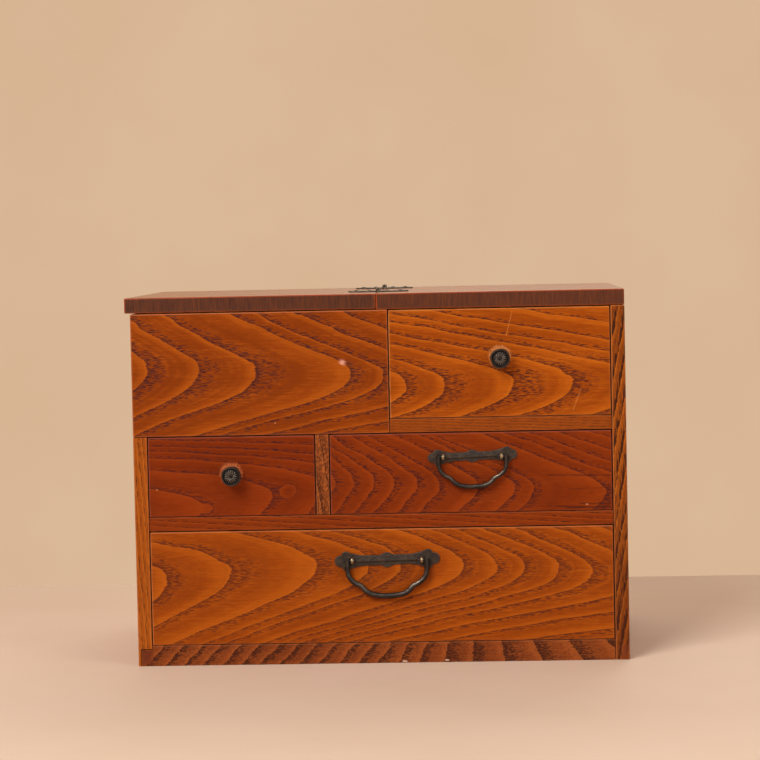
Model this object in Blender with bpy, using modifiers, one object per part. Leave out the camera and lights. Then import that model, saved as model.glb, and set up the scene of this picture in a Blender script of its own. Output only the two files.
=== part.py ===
"""A small table-top chest of ring-porous wood, with a hinged lid over one compartment and four drawers.

The origin is under the middle of the carcass. X runs to the right, Y to the back and Z up, in metres.
"""

import math
from dataclasses import dataclass

import bmesh
import bpy
from mathutils import Matrix, Vector

OBJECT_NAME = "tansu_chest"

# Carcass boards
WIDTH = 0.330
DEPTH = 0.210
HEIGHT = 0.248
SIDE_T = 0.0093
TOP_T = 0.0106
BOTTOM_T = 0.0138
SHELF_T = 0.0093
PARTITION_T = 0.0090
PANEL_T = 0.0090
BACK_T = 0.0080
LOWER_SHELF_Z = 0.0911
UPPER_SHELF_Z = 0.1548
MIDDLE_PARTITION_X = -0.0426
UPPER_PARTITION_X = -0.0017

# Carcass joinery
GAP = 0.0003
OVERCUT = 0.002
HOUSING = 0.0030
STOP_BEHIND_PANEL = 0.0030
TONGUE_LIP = 0.0019
TONGUE_SHOULDER = 0.0026
BACK_LIP = 0.0043

# Lid
LID_OVERHANG = 0.0037
LID_CLEARANCE = 0.0004
LID_BEARING = 0.0014
SEAM_GAP = 0.0003

# Drawers
DRAWER_FRONT_T = 0.0095
DRAWER_FRONT_LIP = 0.0040
DRAWER_SIDE_T = 0.0060
DRAWER_BACK_T = 0.0060
DRAWER_BOTTOM_T = 0.0040
DRAWER_BOTTOM_SEAT = 0.0030
DRAWER_BACK_SEAT = 0.0025
DRAWER_SIDE_PLAY = 0.0006
DRAWER_TOP_PLAY = 0.0007
DRAWER_REAR_PLAY = 0.0030
DRAWER_SIDE_DROP = 0.0020

# Knobs
KNOB_D = 0.0140
KNOB_NECK_D = 0.0086
KNOB_COLLAR_D = 0.0106
KNOB_COLLAR_H = 0.0018
KNOB_NECK_H = 0.0044
KNOB_REACH = 0.0112
KNOB_FACE_D = 0.0118
KNOB_FLOWER_D = 0.0092
KNOB_CROWN_D = 0.0070
KNOB_DIMPLE_D = 0.0023
KNOB_GROOVE = 0.0007
KNOB_SHANK_D = 0.0036
KNOB_NUT_WIDTH = 0.0072
KNOB_NUT_T = 0.0028
KNOB_SHANK_PROUD = 0.0010
TOP_RIGHT_KNOB_RISE = 0.00285
MIDDLE_LEFT_KNOB_RISE = 0.00075
KNOB_SHIFT = 0.0005

# Bail handles, at the size of the larger one
SMALL_PULL_SCALE = 0.847
PLATE_LENGTH = 0.0706
PLATE_T = 0.0014
PLATE_WAIST = 0.0066
PLATE_BULGE = 0.0102
PLATE_BULGE_LENGTH = 0.0112
PLATE_FLARE_START = 0.0120
TIP_LOBE_R = 0.0038
SIDE_LOBE_R = 0.0028
SIDE_LOBE_BACK = 0.0037
SIDE_LOBE_RISE = 0.0036
SIDE_LOBE_START_ANGLE = math.radians(115)
BAIL_SPAN = 0.0530
BAIL_DROP = 0.0238
BAIL_WIRE_D = 0.0037
BAIL_LEG_TOP = 0.0012
BAIL_MIDDLE_SCALE = 1.10
BAIL_LEG_SCALE = 0.94
TRUNNION_D = 0.0018
TRUNNION_PROUD = 0.0016
EYE_D = 0.0045
EYE_WIRE_D = 0.0012
EYE_WIDTH = 0.0020
EYE_PLAY = 0.0004
EYE_SHANK_D = 0.0022
CLENCH_LENGTH = 0.0110
CLENCH_T = 0.0009
MIDDLE_PULL_RISE = 0.01095
MIDDLE_PULL_SHIFT = 0.0012
BOTTOM_PULL_RISE = 0.01745
BOTTOM_PULL_SHIFT = 0.0040
MIDDLE_PLATE_ANGLE = math.radians(1.8)
BOTTOM_PLATE_ANGLE = math.radians(1.1)

# Hinges
HINGE_INSET = 0.050
LEAF_REACH = 0.0207
LEAF_T = 0.0009
LEAF_WAIST = 0.0110
KNUCKLE_D = 0.0028
KNUCKLE_LENGTH = 0.0060
KNUCKLE_GAP = 0.0002
KNUCKLES = 3
FOLD_CLEARANCE = 0.00015
HINGE_PIN_D = 0.0013
PIN_PLAY = 0.0002
PIN_PROUD = 0.0004
NAIL_HEAD_D = 0.0030
NAIL_HEAD_H = 0.0005
NAIL_SHANK_D = 0.0014
NAIL_LENGTH = 0.0080
NAIL_POINT_LENGTH = 0.0024
NAIL_HOLE_DEEPER = 0.0005
NAIL_NEAR = 0.0062
NAIL_SPACING = 0.0088

# Metal pieces sit closer than boards do
METAL_GAP = 0.0001
HOLE_PLAY = 0.0003

# The bail's right half from its leg's top to its middle, as shares of half the span and of the drop
BAIL_SHAPE = (
    (1.004, -0.235),
    (0.981, -0.403),
    (0.906, -0.538),
    (0.795, -0.640),
    (0.668, -0.712),
    (0.605, -0.782),
    (0.535, -0.862),
    (0.405, -0.944),
    (0.215, -0.987),
    (0.000, -1.000),
)

ARC_STEPS = 7
KNOB_SIDES = 24
ROUND_SIDES = 20
SMALL_ROUND_SIDES = 12
EYE_WIRE_SIDES = 8
SMOOTH_ANGLE = math.radians(35)
MERGE_DISTANCE = 0.00001

# Faces that other pieces are set against
LEFT = -WIDTH / 2
RIGHT = WIDTH / 2
FRONT = -DEPTH / 2
BACK = DEPTH / 2
INNER_LEFT = LEFT + SIDE_T
INNER_RIGHT = RIGHT - SIDE_T
TOP_UNDERSIDE = HEIGHT - TOP_T
BOARD_TOP = TOP_UNDERSIDE - GAP
BACK_FACE = BACK - BACK_T
INNER_REAR = BACK_FACE - GAP
PANEL_REAR = FRONT + PANEL_T
HOUSING_FRONT = PANEL_REAR + STOP_BEHIND_PANEL
LOWER_SHELF_TOP = LOWER_SHELF_Z + SHELF_T
UPPER_SHELF_TOP = UPPER_SHELF_Z + SHELF_T
MIDDLE_PARTITION_RIGHT = MIDDLE_PARTITION_X + PARTITION_T
UPPER_PARTITION_RIGHT = UPPER_PARTITION_X + PARTITION_T
SEAM_X = UPPER_PARTITION_X + LID_BEARING
DRAWER_REAR = INNER_REAR - DRAWER_REAR_PLAY
LEAF_FLOOR = HEIGHT + METAL_GAP
NAIL_HEAD_FLOOR = LEAF_FLOOR + LEAF_T + METAL_GAP
HINGE_Z = max(NAIL_HEAD_FLOOR + NAIL_HEAD_H, HEIGHT + KNUCKLE_D / 2) + FOLD_CLEARANCE
HINGE_LENGTH = KNUCKLES * (KNUCKLE_LENGTH + KNUCKLE_GAP) - KNUCKLE_GAP


@dataclass(frozen=True)
class Finish:
    """A material: display colour in 8-bit values, roughness and metallic value."""

    name: str
    colour: tuple
    roughness: float
    metallic: float = 0.0


CARCASS_WOOD = Finish("carcass_wood", (150, 72, 24), 0.42)
TOP_WOOD = Finish("top_wood", (96, 51, 34), 0.38)
FRONT_WOOD = Finish("front_wood", (152, 68, 19), 0.38)
RED_FRONT_WOOD = Finish("red_front_wood", (124, 48, 15), 0.38)
INNER_WOOD = Finish("inner_wood", (196, 160, 116), 0.7)
BLACK_IRON = Finish("black_iron", (66, 50, 42), 0.48, 0.85)
HINGE_IRON = Finish("hinge_iron", (84, 76, 64), 0.5, 0.85)
EYE_BRASS = Finish("eye_brass", (176, 140, 84), 0.35, 1.0)


@dataclass(frozen=True)
class Bay:
    """The space that a drawer slides in, between the faces around it."""

    name: str
    left: float
    right: float
    floor: float
    ceiling: float
    finish: Finish

    @property
    def front_low(self):
        return Vector((self.left + DRAWER_SIDE_PLAY, FRONT, self.floor + GAP))

    @property
    def front_high(self):
        right = self.right - DRAWER_SIDE_PLAY
        return Vector((right, FRONT + DRAWER_FRONT_T, self.ceiling - DRAWER_TOP_PLAY))

    @property
    def middle(self):
        centre = (self.front_low + self.front_high) / 2
        return Vector((centre.x, FRONT, centre.z))


TOP_RIGHT_BAY = Bay(
    "top_right_drawer", UPPER_PARTITION_RIGHT, INNER_RIGHT, UPPER_SHELF_TOP, TOP_UNDERSIDE, FRONT_WOOD
)
MIDDLE_LEFT_BAY = Bay(
    "middle_left_drawer", INNER_LEFT, MIDDLE_PARTITION_X, LOWER_SHELF_TOP, UPPER_SHELF_Z, RED_FRONT_WOOD
)
MIDDLE_RIGHT_BAY = Bay(
    "middle_right_drawer", MIDDLE_PARTITION_RIGHT, INNER_RIGHT, LOWER_SHELF_TOP, UPPER_SHELF_Z, RED_FRONT_WOOD
)
BOTTOM_BAY = Bay("bottom_drawer", INNER_LEFT, INNER_RIGHT, BOTTOM_T, LOWER_SHELF_Z, FRONT_WOOD)


# Scene helpers
def clear_scene():
    """Remove every object that the file starts with."""
    for old in list(bpy.data.objects):
        bpy.data.objects.remove(old)


def new_collection(name):
    """A collection of this name under the scene's own."""
    made = bpy.data.collections.new(name)
    bpy.context.scene.collection.children.link(made)
    return made


def display_to_linear(colour):
    """The linear colour of 8-bit display values."""
    return tuple(((value / 255 + 0.055) / 1.055) ** 2.4 for value in colour)


def material_of(finish):
    """The finish's material, made the first time it is asked for."""
    found = bpy.data.materials.get(finish.name)
    if found:
        return found
    made = bpy.data.materials.new(finish.name)
    made.use_nodes = True
    shader = made.node_tree.nodes["Principled BSDF"]
    shader.inputs["Base Color"].default_value = (*display_to_linear(finish.colour), 1.0)
    shader.inputs["Roughness"].default_value = finish.roughness
    shader.inputs["Metallic"].default_value = finish.metallic
    return made


def world_place(empty):
    """Where an unturned empty stands, its parents counted in."""
    place = Vector((0, 0, 0))
    while empty:
        place += empty.location
        empty = empty.parent
    return place


def new_empty(name, place, parent=None):
    """An empty at a world place, under another empty if one is given."""
    made = bpy.data.objects.new(name, None)
    parts.objects.link(made)
    made.parent = parent
    made.location = Vector(place) - world_place(parent)
    return made


def add_part(name, mesh, place, parent, finish, turn=(0, 0, 0)):
    """A sub-part at a world place, under its empty, with its material."""
    made = bpy.data.objects.new(name, mesh)
    parts.objects.link(made)
    made.parent = parent
    made.location = Vector(place) - world_place(parent)
    made.rotation_euler = turn
    mesh.materials.clear()
    mesh.materials.append(material_of(finish))
    return made


def add_cutter(name, mesh, place, turn=(0, 0, 0)):
    """A helper solid that only a Boolean reads."""
    made = bpy.data.objects.new(name, mesh)
    cutters.objects.link(made)
    made.location = place
    made.rotation_euler = turn
    made.hide_render = True
    made.display_type = "WIRE"
    return made


# Meshes
def box_mesh(name, low, high):
    """A box centred on its origin, as large as the space between two corners."""
    mesh = bpy.data.meshes.new(name)
    shape = bmesh.new()
    size = Vector(high) - Vector(low)
    bmesh.ops.create_cube(shape, size=1.0, matrix=Matrix.LocRotScale(None, None, size))
    shape.to_mesh(mesh)
    shape.free()
    return mesh


def cylinder_mesh(name, diameter, length, sides=SMALL_ROUND_SIDES):
    """A capped cylinder along Z, centred on its origin and smooth round its side."""
    mesh = bpy.data.meshes.new(name)
    shape = bmesh.new()
    radius = diameter / 2
    bmesh.ops.create_cone(
        shape, cap_ends=True, segments=sides, radius1=radius, radius2=radius, depth=length
    )
    shape.to_mesh(mesh)
    shape.free()
    shade(mesh)
    return mesh


def shade(mesh):
    """Smooth shading that keeps the sharp edges."""
    mesh.shade_smooth()
    mesh.set_sharp_from_angle(angle=SMOOTH_ANGLE)


def mesh_of_curve(curve):
    """The mesh of a curve, its caps joined to its sides."""
    holder = bpy.data.objects.new(curve.name, curve)
    parts.objects.link(holder)
    graph = bpy.context.evaluated_depsgraph_get()
    mesh = bpy.data.meshes.new_from_object(holder.evaluated_get(graph))
    bpy.data.objects.remove(holder)
    shape = bmesh.new()
    shape.from_mesh(mesh)
    bmesh.ops.remove_doubles(shape, verts=shape.verts, dist=MERGE_DISTANCE)
    bmesh.ops.recalc_face_normals(shape, faces=shape.faces)
    shape.to_mesh(mesh)
    shape.free()
    shade(mesh)
    return mesh


def outline_mesh(name, outline, thickness):
    """A flat plate in the XY plane with this outline, its thickness split evenly about it."""
    curve = bpy.data.curves.new(name, "CURVE")
    curve.dimensions = "2D"
    curve.fill_mode = "BOTH"
    curve.extrude = thickness / 2
    spline = curve.splines.new("POLY")
    spline.points.add(len(outline) - 1)
    for point, (x, y) in zip(spline.points, outline):
        point.co = (x, y, 0, 1)
    spline.use_cyclic_u = True
    return mesh_of_curve(curve)


# Booleans
def subtract(target, cutter):
    """Cut the cutter's shape out of a part."""
    modifier = target.modifiers.new("cut_" + cutter.name, "BOOLEAN")
    modifier.operation = "DIFFERENCE"
    modifier.object = cutter


def unite(target, helper):
    """Join a helper's shape to a part."""
    modifier = target.modifiers.new("join_" + helper.name, "BOOLEAN")
    modifier.operation = "UNION"
    modifier.object = helper


def cut_box(target, what, low, high):
    """Cut the box between two world corners out of a part."""
    low, high = Vector(low), Vector(high)
    name = f"{target.name}_{what}"
    subtract(target, add_cutter(name, box_mesh(name, low, high), (low + high) / 2))


def add_board(name, low, high, parent, finish):
    """A board that fills the space between two world corners."""
    low, high = Vector(low), Vector(high)
    return add_part(name, box_mesh(name, low, high), (low + high) / 2, parent, finish)


# Carcass
def build_side(name, inner, outer, tongue_front, carcass):
    """A side board: two shelf housings, a rebate for the back and a groove for the bottom's tongue."""
    low, high = min(inner, outer), max(inner, outer)
    board = add_board(name, (low, FRONT, 0), (high, BACK, BOARD_TOP), carcass, CARCASS_WOOD)
    outwards = math.copysign(1, outer - inner)

    def cut_from_inside(what, depth, front, rear, floor, ceiling):
        deep, clear = inner + outwards * depth, inner - outwards * OVERCUT
        cut_box(board, what, (min(deep, clear), front, floor), (max(deep, clear), rear, ceiling))

    for what, shelf_z in (("lower_housing", LOWER_SHELF_Z), ("upper_housing", UPPER_SHELF_Z)):
        cut_from_inside(
            what, HOUSING, HOUSING_FRONT, BACK_FACE, shelf_z - GAP, shelf_z + SHELF_T + GAP
        )
    cut_from_inside(
        "back_rebate", SIDE_T - BACK_LIP, BACK_FACE - GAP, BACK + OVERCUT, -OVERCUT, HEIGHT
    )
    cut_from_inside(
        "tongue_groove",
        SIDE_T - TONGUE_LIP,
        tongue_front,
        BACK_FACE,
        -OVERCUT,
        BOTTOM_T - TONGUE_SHOULDER + GAP,
    )
    return board


def build_carcass(carcass):
    """The boards that stand still, apart from the top."""
    left_side = build_side("left_side", INNER_LEFT, LEFT, FRONT - OVERCUT, carcass)
    build_side("right_side", INNER_RIGHT, RIGHT, HOUSING_FRONT, carcass)
    cut_box(
        left_side,
        "panel_notch",
        (LEFT - OVERCUT, FRONT - OVERCUT, UPPER_SHELF_Z - GAP),
        (INNER_LEFT + OVERCUT, PANEL_REAR + GAP, HEIGHT),
    )
    build_bottom(carcass)
    build_shelves(carcass)
    build_partitions(carcass)
    add_board(
        "front_panel",
        (LEFT, FRONT, UPPER_SHELF_Z),
        (UPPER_PARTITION_RIGHT, PANEL_REAR, BOARD_TOP),
        carcass,
        FRONT_WOOD,
    )
    rebate = SIDE_T - BACK_LIP - GAP
    add_board(
        "back_board",
        (INNER_LEFT - rebate, BACK_FACE, 0),
        (INNER_RIGHT + rebate, BACK, BOARD_TOP),
        carcass,
        INNER_WOOD,
    )


def build_bottom(carcass):
    """The bottom board, with a tongue into each side: right through on the left, stopped on the right."""
    tongue = SIDE_T - TONGUE_LIP - GAP
    low = Vector((INNER_LEFT - tongue, FRONT, 0))
    high = Vector((INNER_RIGHT + tongue, INNER_REAR, BOTTOM_T))
    board = add_board("bottom_board", low, high, carcass, CARCASS_WOOD)
    shoulder_z = BOTTOM_T - TONGUE_SHOULDER
    behind = BACK + OVERCUT
    cut_box(
        board,
        "left_shoulder",
        (low.x - OVERCUT, FRONT - OVERCUT, shoulder_z),
        (INNER_LEFT + GAP, behind, BOTTOM_T + OVERCUT),
    )
    cut_box(
        board,
        "right_shoulder",
        (INNER_RIGHT - GAP, FRONT - OVERCUT, shoulder_z),
        (high.x + OVERCUT, behind, BOTTOM_T + OVERCUT),
    )
    cut_box(
        board,
        "right_stop",
        (INNER_RIGHT - GAP, FRONT - OVERCUT, -OVERCUT),
        (high.x + OVERCUT, HOUSING_FRONT + GAP, BOTTOM_T + OVERCUT),
    )


def build_shelves(carcass):
    """Two shelves housed in the sides, whose front edges show as rails."""
    reach = HOUSING - GAP
    for name, floor in (("lower_shelf", LOWER_SHELF_Z), ("upper_shelf", UPPER_SHELF_Z)):
        top = floor + SHELF_T
        low = Vector((INNER_LEFT - reach, FRONT, floor))
        high = Vector((INNER_RIGHT + reach, INNER_REAR, top))
        shelf = add_board(name, low, high, carcass, CARCASS_WOOD)
        below, above = floor - OVERCUT, top + OVERCUT
        ahead = FRONT - OVERCUT
        cut_box(
            shelf,
            "left_stop",
            (low.x - OVERCUT, ahead, below),
            (INNER_LEFT + GAP, HOUSING_FRONT + GAP, above),
        )
        cut_box(
            shelf,
            "right_stop",
            (INNER_RIGHT - GAP, ahead, below),
            (high.x + OVERCUT, HOUSING_FRONT + GAP, above),
        )
        if floor == UPPER_SHELF_Z:
            cut_box(
                shelf,
                "panel_setback",
                (low.x - OVERCUT, ahead, below),
                (UPPER_PARTITION_RIGHT + GAP, PANEL_REAR + GAP, above),
            )
            cut_partition_housing(shelf, "upper_partition_housing", UPPER_PARTITION_X, top, 1)
            cut_partition_housing(shelf, "middle_partition_housing", MIDDLE_PARTITION_X, floor, -1)
        else:
            cut_partition_housing(shelf, "middle_partition_housing", MIDDLE_PARTITION_X, top, 1)


def cut_partition_housing(shelf, what, partition_x, face, outwards):
    """A housing for a partition in a shelf's upper face (outwards 1) or lower face (outwards -1)."""
    deep, clear = face - outwards * HOUSING, face + outwards * OVERCUT
    cut_box(
        shelf,
        what,
        (partition_x - GAP, HOUSING_FRONT, min(deep, clear)),
        (partition_x + PARTITION_T + GAP, BACK, max(deep, clear)),
    )


def build_partitions(carcass):
    """The upright boards between the drawers, with tongues in the shelves' housings."""
    reach = HOUSING - GAP
    middle = add_board(
        "middle_partition",
        (MIDDLE_PARTITION_X, FRONT, LOWER_SHELF_TOP - reach),
        (MIDDLE_PARTITION_RIGHT, INNER_REAR, UPPER_SHELF_Z + reach),
        carcass,
        CARCASS_WOOD,
    )
    upper = add_board(
        "upper_partition",
        (UPPER_PARTITION_X, PANEL_REAR + GAP, UPPER_SHELF_TOP - reach),
        (UPPER_PARTITION_RIGHT, INNER_REAR, BOARD_TOP),
        carcass,
        INNER_WOOD,
    )
    for board, x in ((middle, MIDDLE_PARTITION_X), (upper, UPPER_PARTITION_X)):
        floor = LOWER_SHELF_TOP if board is middle else UPPER_SHELF_TOP
        cut_box(
            board,
            "lower_stop",
            (x - OVERCUT, FRONT - OVERCUT, floor - HOUSING - OVERCUT),
            (x + PARTITION_T + OVERCUT, HOUSING_FRONT + GAP, floor + GAP),
        )
    cut_box(
        middle,
        "upper_stop",
        (MIDDLE_PARTITION_X - OVERCUT, FRONT - OVERCUT, UPPER_SHELF_Z - GAP),
        (MIDDLE_PARTITION_RIGHT + OVERCUT, HOUSING_FRONT + GAP, UPPER_SHELF_TOP),
    )


def build_top(carcass, lid_pivot):
    """The fixed right half of the top and the lid, which bears on the upper partition's edge."""
    fixed_top = add_board(
        "fixed_top",
        (SEAM_X + SEAM_GAP / 2, FRONT, TOP_UNDERSIDE),
        (RIGHT, BACK, HEIGHT),
        carcass,
        TOP_WOOD,
    )
    lid = add_board(
        "lid",
        (LEFT - LID_OVERHANG, FRONT, TOP_UNDERSIDE + LID_CLEARANCE),
        (SEAM_X - SEAM_GAP / 2, BACK, HEIGHT),
        lid_pivot,
        TOP_WOOD,
    )
    return lid, fixed_top


# Metal outlines
def arc(centre, radius, start, end):
    """Points along an arc, from one angle to another."""
    x, y = centre
    angles = [start + (end - start) * step / ARC_STEPS for step in range(ARC_STEPS + 1)]
    return [(x + radius * math.cos(angle), y + radius * math.sin(angle)) for angle in angles]


def lobed_end(reach, scale):
    """The upper half of a three-lobed end whose tip is at x = reach: a side lobe, then the tip lobe."""
    tip_r, side_r = TIP_LOBE_R * scale, SIDE_LOBE_R * scale
    tip = Vector((reach - tip_r, 0))
    side = tip + Vector((-SIDE_LOBE_BACK, SIDE_LOBE_RISE)) * scale
    between = tip - side
    apart = between.length
    heading = math.atan2(between.y, between.x)
    side_spread = math.acos((side_r**2 + apart**2 - tip_r**2) / (2 * side_r * apart))
    tip_spread = math.acos((tip_r**2 + apart**2 - side_r**2) / (2 * tip_r * apart))
    upper = arc(side, side_r, SIDE_LOBE_START_ANGLE, heading + side_spread)
    return upper + arc(tip, tip_r, heading + math.pi - tip_spread, 0)[1:]


def with_mirror_below(upper):
    """A closed outline from its upper half, which ends on the X axis and may start off it."""
    lower = [(x, -y) for x, y in reversed(upper) if y > MERGE_DISTANCE]
    return upper + lower


def backplate_outline(scale):
    """The handle's plate: a bulge in the middle, waists, and a three-lobed end on each side."""
    waist, bulge = PLATE_WAIST * scale / 2, PLATE_BULGE * scale / 2
    bulge_half, flare_start = PLATE_BULGE_LENGTH * scale / 2, PLATE_FLARE_START * scale
    end = lobed_end(PLATE_LENGTH * scale / 2, scale)
    flare_end, flare_top = end[0]
    right = []
    for step in range(ARC_STEPS + 1):
        share = step / ARC_STEPS
        rise = (bulge - waist) * (1 + math.cos(math.pi * share)) / 2
        right.append((bulge_half * share, waist + rise))
    for step in range(ARC_STEPS):
        share = step / ARC_STEPS
        x = flare_start + (flare_end - flare_start) * share
        right.append((x, waist + (flare_top - waist) * share**2))
    right += end
    left = [(-x, y) for x, y in reversed(right)]
    return with_mirror_below(left[:-1] + right)[:-1]


def leaf_outline():
    """A hinge leaf: as wide as the knuckles at the seam, a waist, and a three-lobed end."""
    start = KNUCKLE_D / 2 + GAP
    half_width = HINGE_LENGTH / 2
    waist = LEAF_WAIST / 2
    end = lobed_end(LEAF_REACH, 1.0)
    end_x, end_y = end[0]
    middle = (start + end_x) / 2
    upper = []
    for step in range(ARC_STEPS):
        share = step / ARC_STEPS
        y = half_width + (waist - half_width) * math.sin(share * math.pi / 2)
        upper.append((start + (middle - start) * share, y))
    for step in range(ARC_STEPS):
        share = step / ARC_STEPS
        upper.append((middle + (end_x - middle) * share, waist + (end_y - waist) * share**2))
    return with_mirror_below(upper + end)


# Hinges
def build_hinge(name, y, carcass, lid_pivot, lid, fixed_top):
    """A hinge across the seam: two leaves, the pin in their knuckles, and nails into the boards."""
    pin_length = HINGE_LENGTH + 2 * PIN_PROUD
    pin_place = Vector((SEAM_X, y, HINGE_Z))
    add_part(
        f"{name}_pin",
        cylinder_mesh(f"{name}_pin", HINGE_PIN_D, pin_length),
        pin_place,
        carcass,
        HINGE_IRON,
        (math.pi / 2, 0, 0),
    )
    pitch = KNUCKLE_LENGTH + KNUCKLE_GAP
    build_leaf(f"{name}_lid", -1, (0,), pin_place, lid_pivot, lid)
    build_leaf(f"{name}_top", 1, (-pitch, pitch), pin_place, carcass, fixed_top)


def build_leaf(name, side, knuckle_places, pin_place, parent, board):
    """One leaf on its board, with knuckles at these places along the pin, bored for it, and two nails."""
    outline = [(side * x, y) for x, y in leaf_outline()]
    mesh = outline_mesh(f"{name}_leaf", outline, LEAF_T)
    leaf_z = LEAF_FLOOR + LEAF_T / 2
    leaf = add_part(f"{name}_leaf", mesh, (SEAM_X, pin_place.y, leaf_z), parent, HINGE_IRON)
    tongue_in, tongue_out = HINGE_PIN_D / 2, KNUCKLE_D / 2 + KNUCKLE_LENGTH / 4
    for number, along in enumerate(knuckle_places):
        place = pin_place + Vector((0, along, 0))
        tag = f"{name}_knuckle_{number}"
        barrel = cylinder_mesh(tag, KNUCKLE_D, KNUCKLE_LENGTH, ROUND_SIDES)
        unite(leaf, add_cutter(tag, barrel, place, (math.pi / 2, 0, 0)))
        tongue_low = (tongue_in, -KNUCKLE_LENGTH / 2, 0)
        tongue_high = (tongue_out, KNUCKLE_LENGTH / 2, LEAF_T)
        tongue_place = (
            SEAM_X + side * (tongue_in + tongue_out) / 2,
            place.y,
            leaf_z,
        )
        tongue = box_mesh(tag + "_tongue", tongue_low, tongue_high)
        unite(leaf, add_cutter(tag + "_tongue", tongue, tongue_place))
    bore_length = HINGE_LENGTH + 2 * OVERCUT
    bore = cylinder_mesh(f"{name}_bore", HINGE_PIN_D + PIN_PLAY, bore_length, ROUND_SIDES)
    subtract(leaf, add_cutter(f"{name}_bore", bore, pin_place, (math.pi / 2, 0, 0)))
    for number in (1, 2):
        reach = NAIL_NEAR + (number - 1) * NAIL_SPACING
        place = Vector((SEAM_X + side * reach, pin_place.y, NAIL_HEAD_FLOOR))
        build_nail(f"{name}_nail_{number}", place, parent, leaf, board)


def turned_mesh(profile):
    """A mesh of a profile, given as radius and height pairs from the top down, for a Screw to turn."""
    mesh = bpy.data.meshes.new("profile")
    mesh.from_pydata([(r, 0, z) for r, z in profile], [(i, i + 1) for i in range(len(profile) - 1)], [])
    return mesh


def add_turned(name, profile, place, parent, finish, turn, sides):
    """A turned sub-part: its profile with a Screw modifier round its own Z axis."""
    made = add_part(name, turned_mesh(profile), place, parent, finish, turn)
    screw = made.modifiers.new("turn", "SCREW")
    screw.axis = "Z"
    screw.steps = screw.render_steps = sides
    screw.use_merge_vertices = True
    screw.merge_threshold = MERGE_DISTANCE
    screw.use_smooth_shade = True
    return made


def build_nail(name, place, parent, leaf, board):
    """A dome-headed nail through a leaf into its board."""
    head_r, shank_r = NAIL_HEAD_D / 2, NAIL_SHANK_D / 2
    dome = [
        (head_r * math.sin(angle), NAIL_HEAD_H * math.cos(angle))
        for angle in (0, math.pi / 6, math.pi / 3, math.pi / 2)
    ]
    shank = [(shank_r, 0), (shank_r, NAIL_POINT_LENGTH - NAIL_LENGTH), (0, -NAIL_LENGTH)]
    add_turned(name, dome + shank, place, parent, HINGE_IRON, (0, 0, 0), SMALL_ROUND_SIDES)
    hole_length = 2 * (NAIL_LENGTH + NAIL_HOLE_DEEPER)
    hole = cylinder_mesh(f"{name}_hole", NAIL_SHANK_D + HOLE_PLAY, hole_length)
    cutter = add_cutter(f"{name}_hole", hole, place)
    subtract(leaf, cutter)
    subtract(board, cutter)


# Drawers
def build_drawer(bay, carcass):
    """A drawer of five boards that slides in its bay. Returns its slide empty and its front board."""
    low, high = bay.front_low, bay.front_high
    slide = new_empty(f"{bay.name}_slide", bay.middle, carcass)
    front = add_board(f"{bay.name}_front", low, high, slide, bay.finish)
    lip = FRONT + DRAWER_FRONT_LIP
    behind = high.y + OVERCUT
    side_top = high.z - DRAWER_SIDE_DROP
    bottom_top = low.z + DRAWER_BOTTOM_T
    inner_low, inner_high = low.x + DRAWER_SIDE_T, high.x - DRAWER_SIDE_T
    cut_box(
        front,
        "left_rebate",
        (low.x - OVERCUT, lip, low.z - OVERCUT),
        (inner_low + GAP, behind, high.z - DRAWER_SIDE_DROP + GAP),
    )
    cut_box(
        front,
        "right_rebate",
        (inner_high - GAP, lip, low.z - OVERCUT),
        (high.x + OVERCUT, behind, high.z - DRAWER_SIDE_DROP + GAP),
    )
    cut_box(
        front,
        "bottom_rebate",
        (low.x - OVERCUT, lip, low.z - OVERCUT),
        (high.x + OVERCUT, behind, bottom_top + GAP),
    )
    back_face = DRAWER_REAR - DRAWER_BACK_T
    for side, outer, inner in (("left", low.x, inner_low), ("right", high.x, inner_high)):
        board = add_board(
            f"{bay.name}_{side}_side",
            (min(outer, inner), lip + GAP, low.z),
            (max(outer, inner), DRAWER_REAR, side_top),
            slide,
            INNER_WOOD,
        )
        inwards = math.copysign(1, inner - outer)
        clear = inner + inwards * OVERCUT
        bottom_seat = inner - inwards * DRAWER_BOTTOM_SEAT
        back_seat = inner - inwards * DRAWER_BACK_SEAT
        cut_box(
            board,
            "bottom_rebate",
            (min(bottom_seat, clear), lip - OVERCUT, low.z - OVERCUT),
            (max(bottom_seat, clear), BACK, bottom_top + GAP),
        )
        cut_box(
            board,
            "back_rebate",
            (min(back_seat, clear), back_face - GAP, low.z - OVERCUT),
            (max(back_seat, clear), BACK, side_top + OVERCUT),
        )
    back_reach, bottom_reach = DRAWER_BACK_SEAT - GAP, DRAWER_BOTTOM_SEAT - GAP
    add_board(
        f"{bay.name}_back",
        (inner_low - back_reach, back_face, bottom_top + GAP),
        (inner_high + back_reach, DRAWER_REAR, side_top),
        slide,
        INNER_WOOD,
    )
    add_board(
        f"{bay.name}_bottom",
        (inner_low - bottom_reach, lip + GAP, low.z),
        (inner_high + bottom_reach, DRAWER_REAR, bottom_top),
        slide,
        INNER_WOOD,
    )
    return slide, front


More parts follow.
